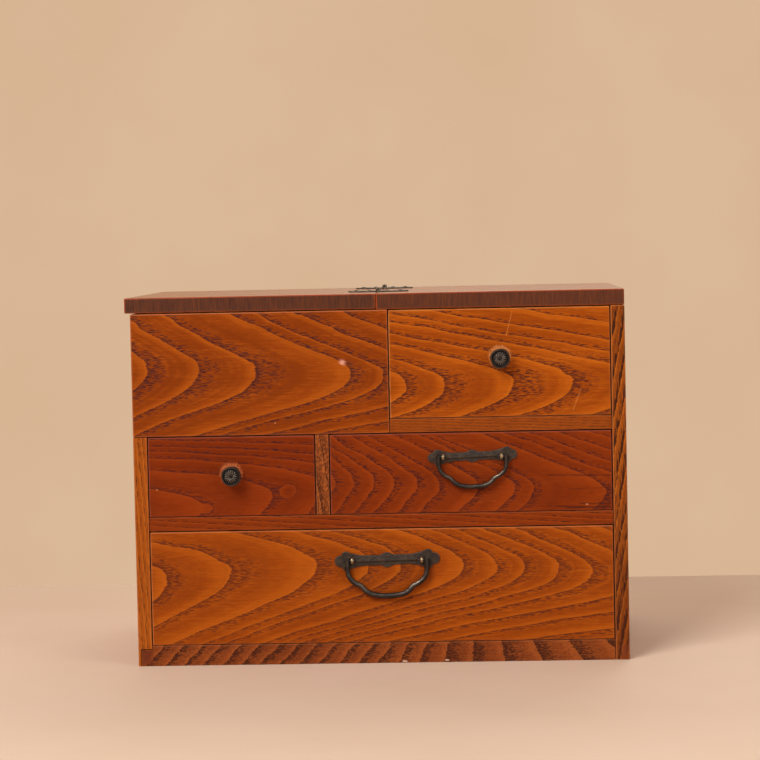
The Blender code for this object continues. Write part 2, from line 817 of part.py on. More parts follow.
# Knobs
def knob_profile():
    """The knob from the middle of its face to the end of its shank. Heights count from the drawer front."""
    shank_end = -(DRAWER_FRONT_T + METAL_GAP + KNOB_NUT_T + KNOB_SHANK_PROUD)
    rim_z = KNOB_REACH - KNOB_GROOVE
    shoulder_z = (KNOB_NECK_H + rim_z) / 2
    groove_z = rim_z - KNOB_GROOVE
    return [
        (0, KNOB_REACH - KNOB_GROOVE),
        (KNOB_DIMPLE_D / 2, KNOB_REACH),
        (KNOB_CROWN_D / 2, KNOB_REACH - KNOB_GROOVE / 3),
        (KNOB_FLOWER_D / 2, groove_z),
        (KNOB_FACE_D / 2 - KNOB_GROOVE, groove_z),
        (KNOB_FACE_D / 2, rim_z),
        (KNOB_D / 2 - KNOB_GROOVE / 2, rim_z - KNOB_GROOVE),
        (KNOB_D / 2, shoulder_z),
        ((KNOB_D + KNOB_NECK_D) / 4, KNOB_NECK_H),
        (KNOB_NECK_D / 2, (KNOB_NECK_H + KNOB_COLLAR_H) / 2),
        (KNOB_NECK_D / 2, KNOB_COLLAR_H),
        (KNOB_COLLAR_D / 2, KNOB_COLLAR_H / 2),
        (KNOB_COLLAR_D / 2, METAL_GAP),
        (KNOB_SHANK_D / 2, METAL_GAP),
        (KNOB_SHANK_D / 2, shank_end),
        (0, shank_end),
    ]


def build_knob(name, place, slide, front):
    """A turned iron knob on a drawer front, its shank held by a square nut inside."""
    outwards = (math.pi / 2, 0, 0)
    add_turned(name, knob_profile(), place, slide, BLACK_IRON, outwards, KNOB_SIDES)
    through = cylinder_mesh(
        f"{name}_hole", KNOB_SHANK_D + HOLE_PLAY, 2 * (DRAWER_FRONT_T + KNOB_NUT_T + OVERCUT)
    )
    cutter = add_cutter(f"{name}_hole", through, place, outwards)
    subtract(front, cutter)
    nut_front = FRONT + DRAWER_FRONT_T + METAL_GAP
    half = KNOB_NUT_WIDTH / 2
    nut = add_board(
        f"{name}_nut",
        (place.x - half, nut_front, place.z - half),
        (place.x + half, nut_front + KNOB_NUT_T, place.z + half),
        slide,
        BLACK_IRON,
    )
    subtract(nut, cutter)


# Bail handles
def bail_curve(name, scale):
    """The bail's wire in its own XY plane, hanging from its pivot line."""
    half, drop = BAIL_SPAN * scale / 2, BAIL_DROP * scale
    right = [(half, BAIL_LEG_TOP * scale)] + [(u * half, v * drop) for u, v in BAIL_SHAPE]
    points = right + [(-x, y) for x, y in reversed(right[:-1])]
    curve = bpy.data.curves.new(name, "CURVE")
    curve.dimensions = "3D"
    curve.bevel_depth = BAIL_WIRE_D * scale / 2
    curve.bevel_resolution = 2
    curve.resolution_u = 3
    curve.use_fill_caps = True
    spline = curve.splines.new("BEZIER")
    spline.bezier_points.add(len(points) - 1)
    for knot, (x, y) in zip(spline.bezier_points, points):
        knot.co = (x, y, 0)
        knot.handle_left_type = knot.handle_right_type = "AUTO"
        knot.radius = BAIL_MIDDLE_SCALE + (BAIL_LEG_SCALE - BAIL_MIDDLE_SCALE) * abs(x) / half
    return curve


def build_pull(name, place, tilt, scale, slide, front):
    """A bail handle on a drawer front: backplate, two clenched eye pins and the bail in their eyes."""
    upright = (math.pi / 2, 0, 0)
    pivot_out = METAL_GAP + PLATE_T + METAL_GAP + EYE_D / 2
    plate = add_part(
        f"{name}_backplate",
        outline_mesh(f"{name}_backplate", backplate_outline(scale), PLATE_T),
        place - Vector((0, METAL_GAP + PLATE_T / 2, 0)),
        slide,
        BLACK_IRON,
        (math.pi / 2, -tilt, 0),
    )
    pivot = place - Vector((0, pivot_out, 0))
    bail = add_part(
        f"{name}_bail", mesh_of_curve(bail_curve(f"{name}_bail", scale)), pivot, slide, BLACK_IRON, upright
    )
    leg_x, wire_r = BAIL_SPAN * scale / 2, BAIL_WIRE_D * scale / 2
    eye_x = leg_x - wire_r - EYE_PLAY - EYE_WIDTH / 2
    trunnion_end = eye_x - EYE_WIDTH / 2 - TRUNNION_PROUD
    for side, sign in (("left", -1), ("right", 1)):
        tag = f"{name}_{side}_trunnion"
        trunnion = cylinder_mesh(tag, TRUNNION_D, leg_x - trunnion_end)
        middle = pivot + Vector((sign * (leg_x + trunnion_end) / 2, 0, 0))
        unite(bail, add_cutter(tag, trunnion, middle, (0, math.pi / 2, 0)))
        eye_place = pivot + Vector((sign * eye_x, 0, 0))
        build_eye_pin(f"{name}_{side}_eye_pin", eye_place, pivot_out, slide, (plate, front))


def build_eye_pin(name, place, pivot_out, slide, pierced):
    """A brass eye that carries one end of the bail, its shank clenched behind the drawer front."""
    major = (EYE_D - EYE_WIRE_D) / 2
    bpy.ops.mesh.primitive_torus_add(
        major_radius=major,
        minor_radius=EYE_WIRE_D / 2,
        major_segments=ROUND_SIDES,
        minor_segments=EYE_WIRE_SIDES,
    )
    ring = bpy.context.object
    mesh = ring.data
    mesh.transform(Matrix.Diagonal((1, 1, EYE_WIDTH / EYE_WIRE_D, 1)))
    bpy.data.objects.remove(ring)
    shade(mesh)
    eye = add_part(name, mesh, place, slide, EYE_BRASS, (0, math.pi / 2, 0))
    shank_start = place.y + major - EYE_WIRE_D / 3
    clench_front = FRONT + DRAWER_FRONT_T + METAL_GAP
    shank_end = clench_front + CLENCH_T / 2
    shank = cylinder_mesh(f"{name}_shank", EYE_SHANK_D, shank_end - shank_start)
    middle = Vector((place.x, (shank_start + shank_end) / 2, place.z))
    unite(eye, add_cutter(f"{name}_shank", shank, middle, (math.pi / 2, 0, 0)))
    low = Vector((place.x - EYE_SHANK_D / 2, clench_front, place.z - CLENCH_LENGTH / 2))
    high = Vector((place.x + EYE_SHANK_D / 2, clench_front + CLENCH_T, place.z + CLENCH_LENGTH / 2))
    clench = box_mesh(f"{name}_clench", low, high)
    unite(eye, add_cutter(f"{name}_clench", clench, (low + high) / 2))
    hole = cylinder_mesh(f"{name}_hole", EYE_SHANK_D + HOLE_PLAY, 2 * (pivot_out + DRAWER_FRONT_T))
    cutter = add_cutter(f"{name}_hole", hole, (place.x, FRONT, place.z), (math.pi / 2, 0, 0))
    for part in pierced:
        subtract(part, cutter)


def build_chest():
    """The whole chest, from its carcass to its handles."""
    carcass = new_empty("carcass", (0, 0, 0))
    build_carcass(carcass)
    lid_pivot = new_empty("lid_pivot", (SEAM_X, 0, HINGE_Z), carcass)
    lid, fixed_top = build_top(carcass, lid_pivot)
    build_hinge("front_hinge", FRONT + HINGE_INSET, carcass, lid_pivot, lid, fixed_top)
    build_hinge("rear_hinge", BACK - HINGE_INSET, carcass, lid_pivot, lid, fixed_top)

    slide, front = build_drawer(TOP_RIGHT_BAY, carcass)
    knob_place = TOP_RIGHT_BAY.middle + Vector((KNOB_SHIFT, 0, TOP_RIGHT_KNOB_RISE))
    build_knob("top_right_knob", knob_place, slide, front)

    slide, front = build_drawer(MIDDLE_LEFT_BAY, carcass)
    knob_place = MIDDLE_LEFT_BAY.middle + Vector((KNOB_SHIFT, 0, MIDDLE_LEFT_KNOB_RISE))
    build_knob("middle_left_knob", knob_place, slide, front)

    slide, front = build_drawer(MIDDLE_RIGHT_BAY, carcass)
    pull_place = MIDDLE_RIGHT_BAY.middle + Vector((MIDDLE_PULL_SHIFT, 0, MIDDLE_PULL_RISE))
    build_pull("middle_right", pull_place, MIDDLE_PLATE_ANGLE, SMALL_PULL_SCALE, slide, front)

    slide, front = build_drawer(BOTTOM_BAY, carcass)
    pull_place = BOTTOM_BAY.middle + Vector((BOTTOM_PULL_SHIFT, 0, BOTTOM_PULL_RISE))
    build_pull("bottom", pull_place, BOTTOM_PLATE_ANGLE, 1.0, slide, front)


clear_scene()
parts = new_collection(OBJECT_NAME)
cutters = new_collection("cutters")
build_chest()
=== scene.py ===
"""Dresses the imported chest: lacquered boards with growth rings, forged handles, turned knobs and hinges.

Lengths are in metres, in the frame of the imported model: X to the right, Y to the back, Z up.
"""

import logging
import math
from dataclasses import dataclass, replace
from enum import Enum
from typing import Callable, Optional, Union

import bmesh
import bpy
import numpy as np
from mathutils import Matrix, Vector, noise


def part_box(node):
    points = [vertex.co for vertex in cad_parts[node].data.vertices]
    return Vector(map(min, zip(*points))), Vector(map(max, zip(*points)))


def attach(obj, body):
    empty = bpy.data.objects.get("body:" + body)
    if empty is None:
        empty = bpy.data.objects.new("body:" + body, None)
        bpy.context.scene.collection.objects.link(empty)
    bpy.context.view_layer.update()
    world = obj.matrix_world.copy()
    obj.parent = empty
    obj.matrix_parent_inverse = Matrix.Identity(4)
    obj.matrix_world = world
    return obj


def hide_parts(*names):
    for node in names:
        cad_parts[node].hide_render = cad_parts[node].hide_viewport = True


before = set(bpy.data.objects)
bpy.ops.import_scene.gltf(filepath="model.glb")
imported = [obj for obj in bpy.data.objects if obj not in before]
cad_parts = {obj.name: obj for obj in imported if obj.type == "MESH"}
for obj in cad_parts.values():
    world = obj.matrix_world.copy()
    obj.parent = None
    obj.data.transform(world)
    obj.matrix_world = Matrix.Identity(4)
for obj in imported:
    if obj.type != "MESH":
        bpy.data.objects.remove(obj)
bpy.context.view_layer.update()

Mesh = bpy.types.Mesh
Material = bpy.types.Material
Piece = bpy.types.Object
Socket = bpy.types.NodeSocket
Rgb = tuple[int, int, int]
Point = tuple[float, float, float]
Pair = tuple[float, float]
Box = tuple[Vector, Vector]
Named = Optional[dict]
Key = Union[int, str]
Reshape = Optional[Callable[[Vector], Vector]]
Operand = Union["Value", float]
LOG = logging.getLogger("chest")
MM = 0.001
MERGE = 1e-6
LEG_WIDTH = 20 * MM
LONG_EDGE = 5 * MM
FORGED_WEAR = 3.0


def linear(colour: Rgb) -> tuple[float, float, float, float]:
    """The linear RGBA of an 8-bit display colour."""
    return (*(((channel / 255 + 0.055) / 1.055) ** 2.4 for channel in colour), 1.0)


class Value:
    """A node's number output, with Python operators that add Math nodes."""

    def __init__(self, graph: "Graph", socket: Socket) -> None:
        """Wrap a socket of a graph."""
        self.graph = graph
        self.socket = socket

    def math(self, operation: str, *others: Operand) -> "Value":
        """This value and others through one Math node."""
        return self.graph.value("ShaderNodeMath", dict(enumerate((self, *others))), {"operation": operation})

    def __add__(self, other: Operand) -> "Value":
        """Sum."""
        return self.math("ADD", other)

    __radd__ = __add__

    def __sub__(self, other: Operand) -> "Value":
        """Difference."""
        return self.math("SUBTRACT", other)

    def __rsub__(self, other: float) -> "Value":
        """Difference, from a plain number."""
        return self.graph.value("ShaderNodeMath", {0: other, 1: self}, {"operation": "SUBTRACT"})

    def __mul__(self, other: Operand) -> "Value":
        """Product."""
        return self.math("MULTIPLY", other)

    __rmul__ = __mul__

    def __truediv__(self, other: Operand) -> "Value":
        """Quotient."""
        return self.math("DIVIDE", other)

    def __abs__(self) -> "Value":
        """Size without sign."""
        return self.math("ABSOLUTE")

    def low(self, other: Operand) -> "Value":
        """The lesser of two."""
        return self.math("MINIMUM", other)

    def high(self, other: Operand) -> "Value":
        """The greater of two."""
        return self.math("MAXIMUM", other)

    def rise(self, start: Operand, end: Operand, before: float = 0.0, after: float = 1.0) -> "Value":
        """One number up to a start, another from an end, smooth between them."""
        sockets = {0: self, 1: start, 2: end, 3: before, 4: after}
        settings = {"interpolation_type": "SMOOTHSTEP", "clamp": True}
        return self.graph.value("ShaderNodeMapRange", sockets, settings)

    def fall(self, start: Operand, end: Operand) -> "Value":
        """1 up to a start, 0 from an end, smooth between them."""
        return self.rise(start, end, 1.0, 0.0)


class Graph:
    """A node tree that is filled by one method."""

    def __init__(self, tree: bpy.types.NodeTree) -> None:
        """Take a tree to fill."""
        self.tree = tree

    def node(self, kind: str, sockets: Named = None, settings: Named = None) -> bpy.types.Node:
        """Add a node.

        Args:
            kind: The node's type.
            sockets: The numbers, colours or links of its inputs, by name or place.
            settings: Its properties, set before its sockets. "stops" are a Float Curve's points.

        Returns:
            The node.
        """
        made = self.tree.nodes.new(kind)
        for name, setting in (settings or {}).items():
            if name == "stops":
                self.set_stops(made.mapping, setting)
            else:
                setattr(made, name, setting)
        self.feed(made, sockets or {})
        return made

    def feed(self, node: bpy.types.Node, sockets: dict) -> None:
        """Set a node's inputs.

        Args:
            node: The node.
            sockets: The numbers, colours or links of its inputs, by name or place.
        """
        for key, given in sockets.items():
            source = given.socket if isinstance(given, Value) else given
            if isinstance(source, Socket):
                self.tree.links.new(source, node.inputs[key])
            else:
                node.inputs[key].default_value = source

    @staticmethod
    def set_stops(mapping: bpy.types.CurveMapping, stops: list[Pair]) -> None:
        """Put straight-sided points on a curve.

        Args:
            mapping: The curve's mapping.
            stops: The points, from the first to the last.
        """
        points = mapping.curves[0].points
        for point, stop in zip(points, (stops[0], stops[-1])):
            point.location = stop
        for stop in stops[1:-1]:
            points.new(*stop)
        for point in points:
            point.handle_type = "VECTOR"
        mapping.update()

    def out(self, kind: str, sockets: Named = None, settings: Named = None, output: Key = 0) -> Socket:
        """Add a node and give one of its outputs."""
        return self.node(kind, sockets, settings).outputs[output]

    def value(self, kind: str, sockets: Named = None, settings: Named = None, output: Key = 0) -> Value:
        """Add a node and wrap one of its outputs."""
        return Value(self, self.out(kind, sockets, settings, output))

    def blend(self, factor: Operand, first: object, second: object) -> Socket:
        """A colour that goes from a first to a second by a factor."""
        return self.out("ShaderNodeMix", {0: factor, 6: first, 7: second}, {"data_type": "RGBA"}, 2)

    def mapped(self, place: Socket, per_metre: Point, offset: float = 0.0) -> Socket:
        """A place in units that are set per metre along each axis, shifted by an offset."""
        sockets = {"Vector": place, "Scale": per_metre, "Location": (offset, offset * 0.7, offset * 1.3)}
        return self.out("ShaderNodeMapping", sockets, {"vector_type": "POINT"})

    def noise(self, place: Socket, per_metre: Point, detail: float, offset: float = 0.0) -> Value:
        """Noise about 0.5 whose grain is set per metre along each axis."""
        where = self.mapped(place, per_metre, offset)
        sockets = {"Vector": where, "Scale": 1.0, "Detail": detail, "Roughness": 0.55}
        return self.value("ShaderNodeTexNoise", sockets)

    def cells(self, place: Socket, per_metre: Point) -> Value:
        """How far a place is from the nearest of scattered points, in cells that are set per metre."""
        sockets = {"Vector": self.mapped(place, per_metre), "Scale": 1.0}
        return self.value("ShaderNodeTexVoronoi", sockets, None, "Distance")

    def wavy(self, place: Socket, per_metre: Point, size: float, offset: float) -> Socket:
        """A place moved about by noise of a size."""
        sockets = {"Vector": self.mapped(place, per_metre, offset), "Scale": 1.0, "Detail": 1.0}
        shift = {0: self.out("ShaderNodeTexNoise", sockets, None, "Color"), 1: (size,) * 3, 2: place}
        return self.out("ShaderNodeVectorMath", shift, {"operation": "MULTIPLY_ADD"})


class Paint(Graph):
    """A material's graph, with its object coordinates and its colour so far at hand."""

    def __init__(self, name: str, tone: Rgb) -> None:
        """Make the material and its shader.

        Args:
            name: The material's name.
            tone: The display colour that it starts from.
        """
        self.material = bpy.data.materials.new(name)
        self.material.use_nodes = True
        super().__init__(self.material.node_tree)
        self.shader = self.tree.nodes["Principled BSDF"]
        self.place = self.out("ShaderNodeTexCoord", output="Object")
        split = self.node("ShaderNodeSeparateXYZ", {0: self.place})
        self.x, self.y, self.z = (Value(self, socket) for socket in split.outputs)
        self.colour: object = linear(tone)

    def tint(self, factor: Operand, tone: Rgb) -> None:
        """Blend a display colour over the colour so far."""
        self.colour = self.blend(factor, self.colour, linear(tone))

    def clouds(self, per_metre: float, detail: float = 3.0, offset: float = 0.0) -> Value:
        """Noise about 0.5 with the same grain every way."""
        return self.noise(self.place, (per_metre,) * 3, detail, offset)

    def facing(self, way: Vector) -> Value:
        """How far the surface looks along a direction, either way: 1 where it does, 0 where it doesn't."""
        sockets = {0: self.out("ShaderNodeNewGeometry", output="Normal"), 1: way}
        share = self.value("ShaderNodeVectorMath", sockets, {"operation": "DOT_PRODUCT"}, "Value")
        return abs(share).rise(0.6, 0.9)

    def finish(self, sockets: dict, height: Optional[Value] = None, depth: float = 0.0) -> Material:
        """Feed the shader the colour so far, a relief and what else is given.

        Args:
            sockets: The shader's other inputs.
            height: The relief for the bump, or nothing.
            depth: How deep the relief is.

        Returns:
            The material.
        """
        given = {"Base Color": self.colour, **sockets}
        if height is not None:
            bump = {"Strength": 0.8, "Distance": depth, "Height": height}
            given["Normal"] = self.out("ShaderNodeBump", bump)
        self.feed(self.shader, given)
        return self.material


class Grain(Enum):
    """The ways a board's grain runs: the axes of its length, its face's width and its thickness."""

    FRONT = (0, 2, 1)
    SHELF = (0, 1, 2)
    SIDE = (2, 1, 0)
    TOP = (1, 0, 2)
    DRAWER_SIDE = (1, 2, 0)

    @property
    def along(self) -> Vector:
        """The grain's direction."""
        return Matrix.Identity(3)[self.value[0]]

    @property
    def through(self) -> Vector:
        """The direction through the board's thickness."""
        return Matrix.Identity(3)[self.value[2]]

    def stretch(self, length: float, width: float, main: int = 0) -> Point:
        """Noise grains per metre for streaks of a length along one axis and a width along the others."""
        return tuple(1 / length if axis == self.value[main] else 1 / width for axis in range(3))


@dataclass(frozen=True)
class Knot:
    """A spot that rings bend round or pores fan out at: its place on the board, its size and its pull."""

    along: float
    across: float
    size: float
    pull: float

    def swell(self, along: Value, across: Value) -> Value:
        """The pull at a place, whole at the spot and fading round it."""
        side, rise = along - self.along, across - self.across
        return ((side * side + rise * rise) / (-self.size * self.size)).math("EXPONENT") * self.pull


@dataclass(frozen=True)
class RingField:
    """How the growth rings cross a board.

    Rings come to tips along a line down the board's length and run back from them in two legs. The pairs
    are for the leg above the line and the leg below it. A gain is what is added per metre of length, and
    the slope's gain counts past the middle alone.
    """

    axis: float = 0.0
    middle: float = 0.0
    lean: float = 0.0
    bow: float = 0.0
    reach: Pair = (5.0, 5.0)
    reach_gain: Pair = (0.0, 0.0)
    power: Pair = (1.0, 1.0)
    blunt: Pair = (0.02, 0.02)
    face: float = 0.0
    slope: float = 1.0
    slope_gain: float = 0.0
    tips: tuple[float, ...] = ()
    spacing: float = 0.045
    band: float = 0.016
    knots: tuple[Knot, ...] = ()

    def count(self, paint: Paint, along: Value, across: Value, deep: Value) -> Value:
        """The ring number at a place, whole at each ring's start and at a half where its pores thin out.

        Args:
            paint: The material's graph.
            along: The place along the grain.
            across: The place across the face.
            deep: The place through the thickness.

        Returns:
            The ring number.
        """
        past = along - self.middle
        aside = across - self.axis - past * self.lean - past * past * self.bow
        up = aside.math("GREATER_THAN", 0.0)

        def sided(setting: Pair) -> Value:
            """A setting on the side of the line where the place is."""
            return up * (setting[0] - setting[1]) + setting[1]

        reach = (sided(self.reach) + past * sided(self.reach_gain)).high(0.05)
        blunt = sided(self.blunt)
        off = ((aside * aside + blunt * blunt).math("SQRT") - blunt).high(MERGE)
        leg = (off / LEG_WIDTH).math("POWER", sided(self.power)) * LEG_WIDTH
        depth = (deep - self.face) * (past.high(0.0) * self.slope_gain + self.slope)
        place = along + reach * leg + depth
        for knot in self.knots:
            place = place + knot.swell(along, across)
        return self.from_tips(paint, place) if self.tips else self.from_spacing(place)

    def from_tips(self, paint: Paint, place: Value) -> Value:
        """The ring number from tips that lie at uneven steps.

        Args:
            paint: The material's graph.
            place: The place down the line of tips.

        Returns:
            The ring number.
        """
        first, rings, long = self.tips[0], len(self.tips) - 1, self.tips[-1] - self.tips[0]
        stops = []
        for number, (tip, following) in enumerate(zip(self.tips, self.tips[1:])):
            thin = min(tip + self.band, (tip + following) / 2)
            stops += [(tip, number), (thin, number + 0.5)]
        stops.append((self.tips[-1], rings))
        shares = [((tip - first) / long, number / rings) for tip, number in stops]
        curve = paint.value("ShaderNodeFloatCurve", {"Value": (place - first) / long}, {"stops": shares})
        return curve * rings

    def from_spacing(self, place: Value) -> Value:
        """The ring number from tips that lie at even steps.

        Args:
            place: The place down the line of tips.

        Returns:
            The ring number.
        """
        number = place / self.spacing
        part = number.math("FRACT")
        share = min(self.band / self.spacing, 0.5)
        bent = (part * (0.5 / share)).low(0.5) + ((part - share) * (0.5 / (1 - share))).high(0.0)
        return number - part + bent


@dataclass(frozen=True)
class Tones:
    """A wood's display colours.

    They are its body, the line that ends a ring, the band that starts one, its pores, the pale tone of its
    arrises, partly rubbed lacquer and partly painted sheen, and its end grain.
    """

    body: Rgb
    line: Rgb
    band: Rgb
    pore: Rgb
    # The arrises' pale tone: rubbed lacquer and painted sheen.
    worn_and_highlight: Rgb = (196, 128, 84)
    end: Rgb = (84, 44, 28)


@dataclass(frozen=True)
class Scratch:
    """A worn line or nick on a board's face, between two places across the front."""

    start: Pair
    end: Pair
    width: float
    strength: float
    tone: Rgb = (222, 160, 118)
    softness: float = 1.0

    def shown(self, paint: Paint, rub: Value) -> Value:
        """Where the scratch shows.

        Args:
            paint: The material's graph.
            rub: Noise that breaks the scratch up.

        Returns:
            The strength at a place.
        """
        run = Vector(self.end) - Vector(self.start)
        length, way = run.length, run.normalized()
        gap_x, gap_z = paint.x - self.start[0], paint.z - self.start[1]
        blur = self.width * self.softness
        down = gap_x * way.x + gap_z * way.y
        aside = abs(gap_z * way.x - gap_x * way.y + (rub - 0.5) * blur)
        ends = down.rise(-blur, blur) * down.fall(length - blur, length + blur)
        return aside.fall(self.width - blur * 0.75, self.width) * ends * rub.rise(0.2, 0.5) * self.strength


@dataclass(frozen=True)
class WoodFinish:
    """A ring-porous board's finish."""

    name: str
    grain: Grain
    rings: RingField
    tones: Tones
    pore_length: float = 4.6 * MM
    pore_width: float = 0.52 * MM
    pore_size: float = 0.52
    stray_pores: float = 0.16
    band_depth: float = 0.3
    face_pores: float = 1.0
    glow: float = 0.34
    roughness: float = 0.34
    specular: float = 0.08
    coat: float = 0.0
    # How strongly the arrises get their pale tone of rubbed lacquer and painted sheen.
    arris_wear_and_sheen: float = 0.6
    wander: float = 1.0 * MM
    seed: float = 0.0
    scratches: tuple[Scratch, ...] = ()
    fans: tuple[Knot, ...] = ()
    halo: Optional[Pair] = None
    rubbed: Rgb = (208, 134, 76)

    def material(self, box: Optional[Box] = None) -> Material:
        """The board's material.

        Args:
            box: The board's lowest and highest corners, for the arrises' rubbed and painted-sheen tone, or
                nothing.

        Returns:
            The material.
        """
        tones, stretch = self.tones, self.grain.stretch
        paint = Paint(self.name, tones.body)
        bent = paint.wavy(paint.place, stretch(9 * MM, 3.5 * MM), 1.3 * MM, self.seed)

        def streaks(
            length: float, width: float, detail: float, offset: float, place: Socket = paint.place
        ) -> Value:
            """Noise in streaks of a length and a width in millimetres, set apart by an offset."""
            return paint.noise(place, stretch(length * MM, width * MM), detail, self.seed + offset)

        drift = streaks(45, 16, 1.0, 0) - 0.5
        sway = streaks(24, 9, 1.0, 5) - 0.5
        ragged = streaks(4, 0.7, 2.0, 2) - 0.5
        spread = streaks(30, 12, 1.0, 3)
        mottle = streaks(60, 22, 3.0, 6)
        fibre = streaks(26, 0.6, 3.0, 4, bent)
        fleck = streaks(5, 0.9, 2.0, 9, bent)

        along, across, deep = ((paint.x, paint.y, paint.z)[axis] for axis in self.grain.value)
        across = across + drift * (3.2 * self.wander) + sway * (1.2 * self.wander)
        along = along + sway * (5.0 * self.wander) + ragged * (4.0 * self.wander)
        number = self.rings.count(paint, along, across, deep)
        phase = number.math("FRACT")
        waves = {"W": number * 9.0 + self.seed, "Scale": 1.0, "Detail": 1.0}
        ripple = paint.value("ShaderNodeTexNoise", waves, {"noise_dimensions": "1D"})

        reach = spread * 0.5 + 0.24
        for fan in self.fans:
            reach = reach + fan.swell(along, across)
        early = phase.fall(reach * 0.4, reach * 1.25)
        gap = paint.cells(bent, stretch(self.pore_length, self.pore_width))
        size = early * (self.pore_size - self.stray_pores) + self.stray_pores + phase.fall(0.0, 0.16) * 0.10
        pores = gap.fall(size - 0.14, size + 0.02).high(phase.fall(0.02, 0.10) * 0.5)

        line = phase.rise(0.92, 0.98) * phase.fall(0.985, 1.0)
        hollow = phase.rise(0.3, 0.5) * phase.fall(0.6, 0.9) * self.glow
        glow = phase.rise(0.74, 0.98) * self.glow
        shade = (mottle - 0.5) * 1.1 + (fibre - 0.5) * 1.2 + (fleck - 0.5) * 0.6 + (ripple - 0.5) * 0.4
        flat = paint.facing(self.grain.through) * (self.face_pores - 1.0) + 1.0
        paint.tint((early * self.band_depth).high(hollow), tones.band)
        paint.tint((line * 0.55).high(glow), tones.line)
        paint.tint((shade * -1).high(0.0), tones.band)
        paint.tint(shade.high(0.0), tones.line)
        paint.tint(pores * (early * 0.3 + 0.55) * flat, tones.pore)

        ending = paint.facing(self.grain.along)
        ruling = paint.noise(paint.place, stretch(0.5 * MM, 9 * MM, 1), 2.0)
        end_tone = paint.blend(ruling.rise(0.3, 0.75) * 0.55, linear(tones.end), linear(tones.band))
        paint.colour = paint.blend(ending, paint.colour, end_tone)
        if box:
            self.age(paint, box)
        rough = pores * 0.22 + self.roughness + (mottle - 0.5) * 0.12 + ending * 0.15
        gloss = {"Specular IOR Level": self.specular, "Coat Weight": self.coat, "Coat Roughness": 0.28}
        return paint.finish({"Roughness": rough, **gloss}, fibre * 0.25 - pores * 0.7, 0.1 * MM)

    def age(self, paint: Paint, box: Box) -> None:
        """Tint the arrises with rubbed lacquer and painted sheen, and rub the lacquer round its knob and at
        its marks.

        Args:
            paint: The material's graph.
            box: The board's lowest and highest corners.
        """
        low, high = box
        axes = zip((paint.x, paint.y, paint.z), low, high)
        nearest, other, third = ((value - start).low(end - value) for value, start, end in axes)
        second = nearest.low(other).high(nearest.high(other).low(third))
        rub = paint.clouds(90.0, 3.0, self.seed + 8)
        # Pale arris tone within about a millimetre of two faces: partly rubbed lacquer, partly painted
        # sheen, stronger within 1.5 mm of the top and left faces, where the light falls.
        top_left_light = (high.z - paint.z).low(paint.x - low.x).fall(0.5 * MM, 1.5 * MM) * 0.6 + 0.4
        edge = second.fall(0.2 * MM, 1.15 * MM) * rub.rise(0.1, 0.5) * top_left_light * self.arris_wear_and_sheen
        front = (paint.y - low.y).fall(0.2 * MM, 0.6 * MM)
        if self.halo:
            patchy = paint.clouds(1100.0, 3.0, self.seed) - 0.5
            gap_x, gap_z = paint.x - self.halo[0], paint.z - self.halo[1]
            ring = (gap_x * gap_x + gap_z * gap_z).math("SQRT") + patchy * (7.0 * MM) - gap_z * 0.10
            paint.tint(ring.fall(6.4 * MM, 8.2 * MM) * front * 0.8, self.rubbed)
        # Paint the arrises' pale tone of rubbed lacquer and painted sheen.
        paint.tint(edge, self.tones.worn_and_highlight)
        for scratch in self.scratches:
            paint.tint(scratch.shown(paint, rub) * front, scratch.tone)


@dataclass(frozen=True)
class IronFinish:
    """Dark forged iron: a rough skin, rust-brown patches, and a bright tone of rubbed metal and painted
    highlight.
    """

    name: str
    skin: Rgb
    patch: Rgb
    worn_and_highlight: Rgb
    roughness: float = 0.46
    pit: float = 0.7 * MM
    metal: float = 0.55

    def material(self) -> Material:
        """The iron's material, which reads the piece's attribute of rubbed metal and painted highlight."""
        paint = Paint(self.name, self.skin)
        proud = paint.value("ShaderNodeAttribute", None, {"attribute_name": "wear"}, "Fac")
        grains = paint.clouds(1 / self.pit)
        rub = (proud * (grains * 1.2 + 0.4)).low(1.0)
        paint.tint(paint.clouds(1 / (7 * self.pit), 3.0, 4.0).rise(0.42, 0.66), self.patch)
        paint.tint(grains.fall(0.30, 0.48) * 0.6, tuple(channel // 2 for channel in self.skin))
        # The bright tone: rubbed metal, and on the bail and the knobs' petals a painted highlight.
        paint.tint(rub * 0.8, self.worn_and_highlight)
        rough = self.roughness + (grains - 0.5) * 0.25 - rub * 0.14
        return paint.finish({"Roughness": rough, "Metallic": rub * 0.35 + self.metal}, grains, 0.25 * MM)


@dataclass(frozen=True)
class BrassFinish:
    """Old brass with brown tarnish in its hollows."""

    name: str = "eye_brass_tarnished"
    bright: Rgb = (164, 146, 116)
    tarnish: Rgb = (96, 78, 54)

    def material(self) -> Material:
        """The brass's material."""
        paint = Paint(self.name, self.bright)
        cloud = paint.clouds(900.0)
        paint.tint(cloud.rise(0.48, 0.72), self.tarnish)
        return paint.finish({"Roughness": cloud * 0.3 + 0.2, "Metallic": 0.9}, cloud, 0.06 * MM)


def link(name: str, mesh: Mesh, material: Optional[Material] = None) -> Piece:
    """An object at the origin.

    Args:
        name: Its name.
        mesh: Its mesh.
        material: Its one material, or nothing.

    Returns:
        The object.
    """
    mesh.materials.clear()
    if material:
        mesh.materials.append(material)
    made = bpy.data.objects.new(name, mesh)
    bpy.context.scene.collection.objects.link(made)
    return made


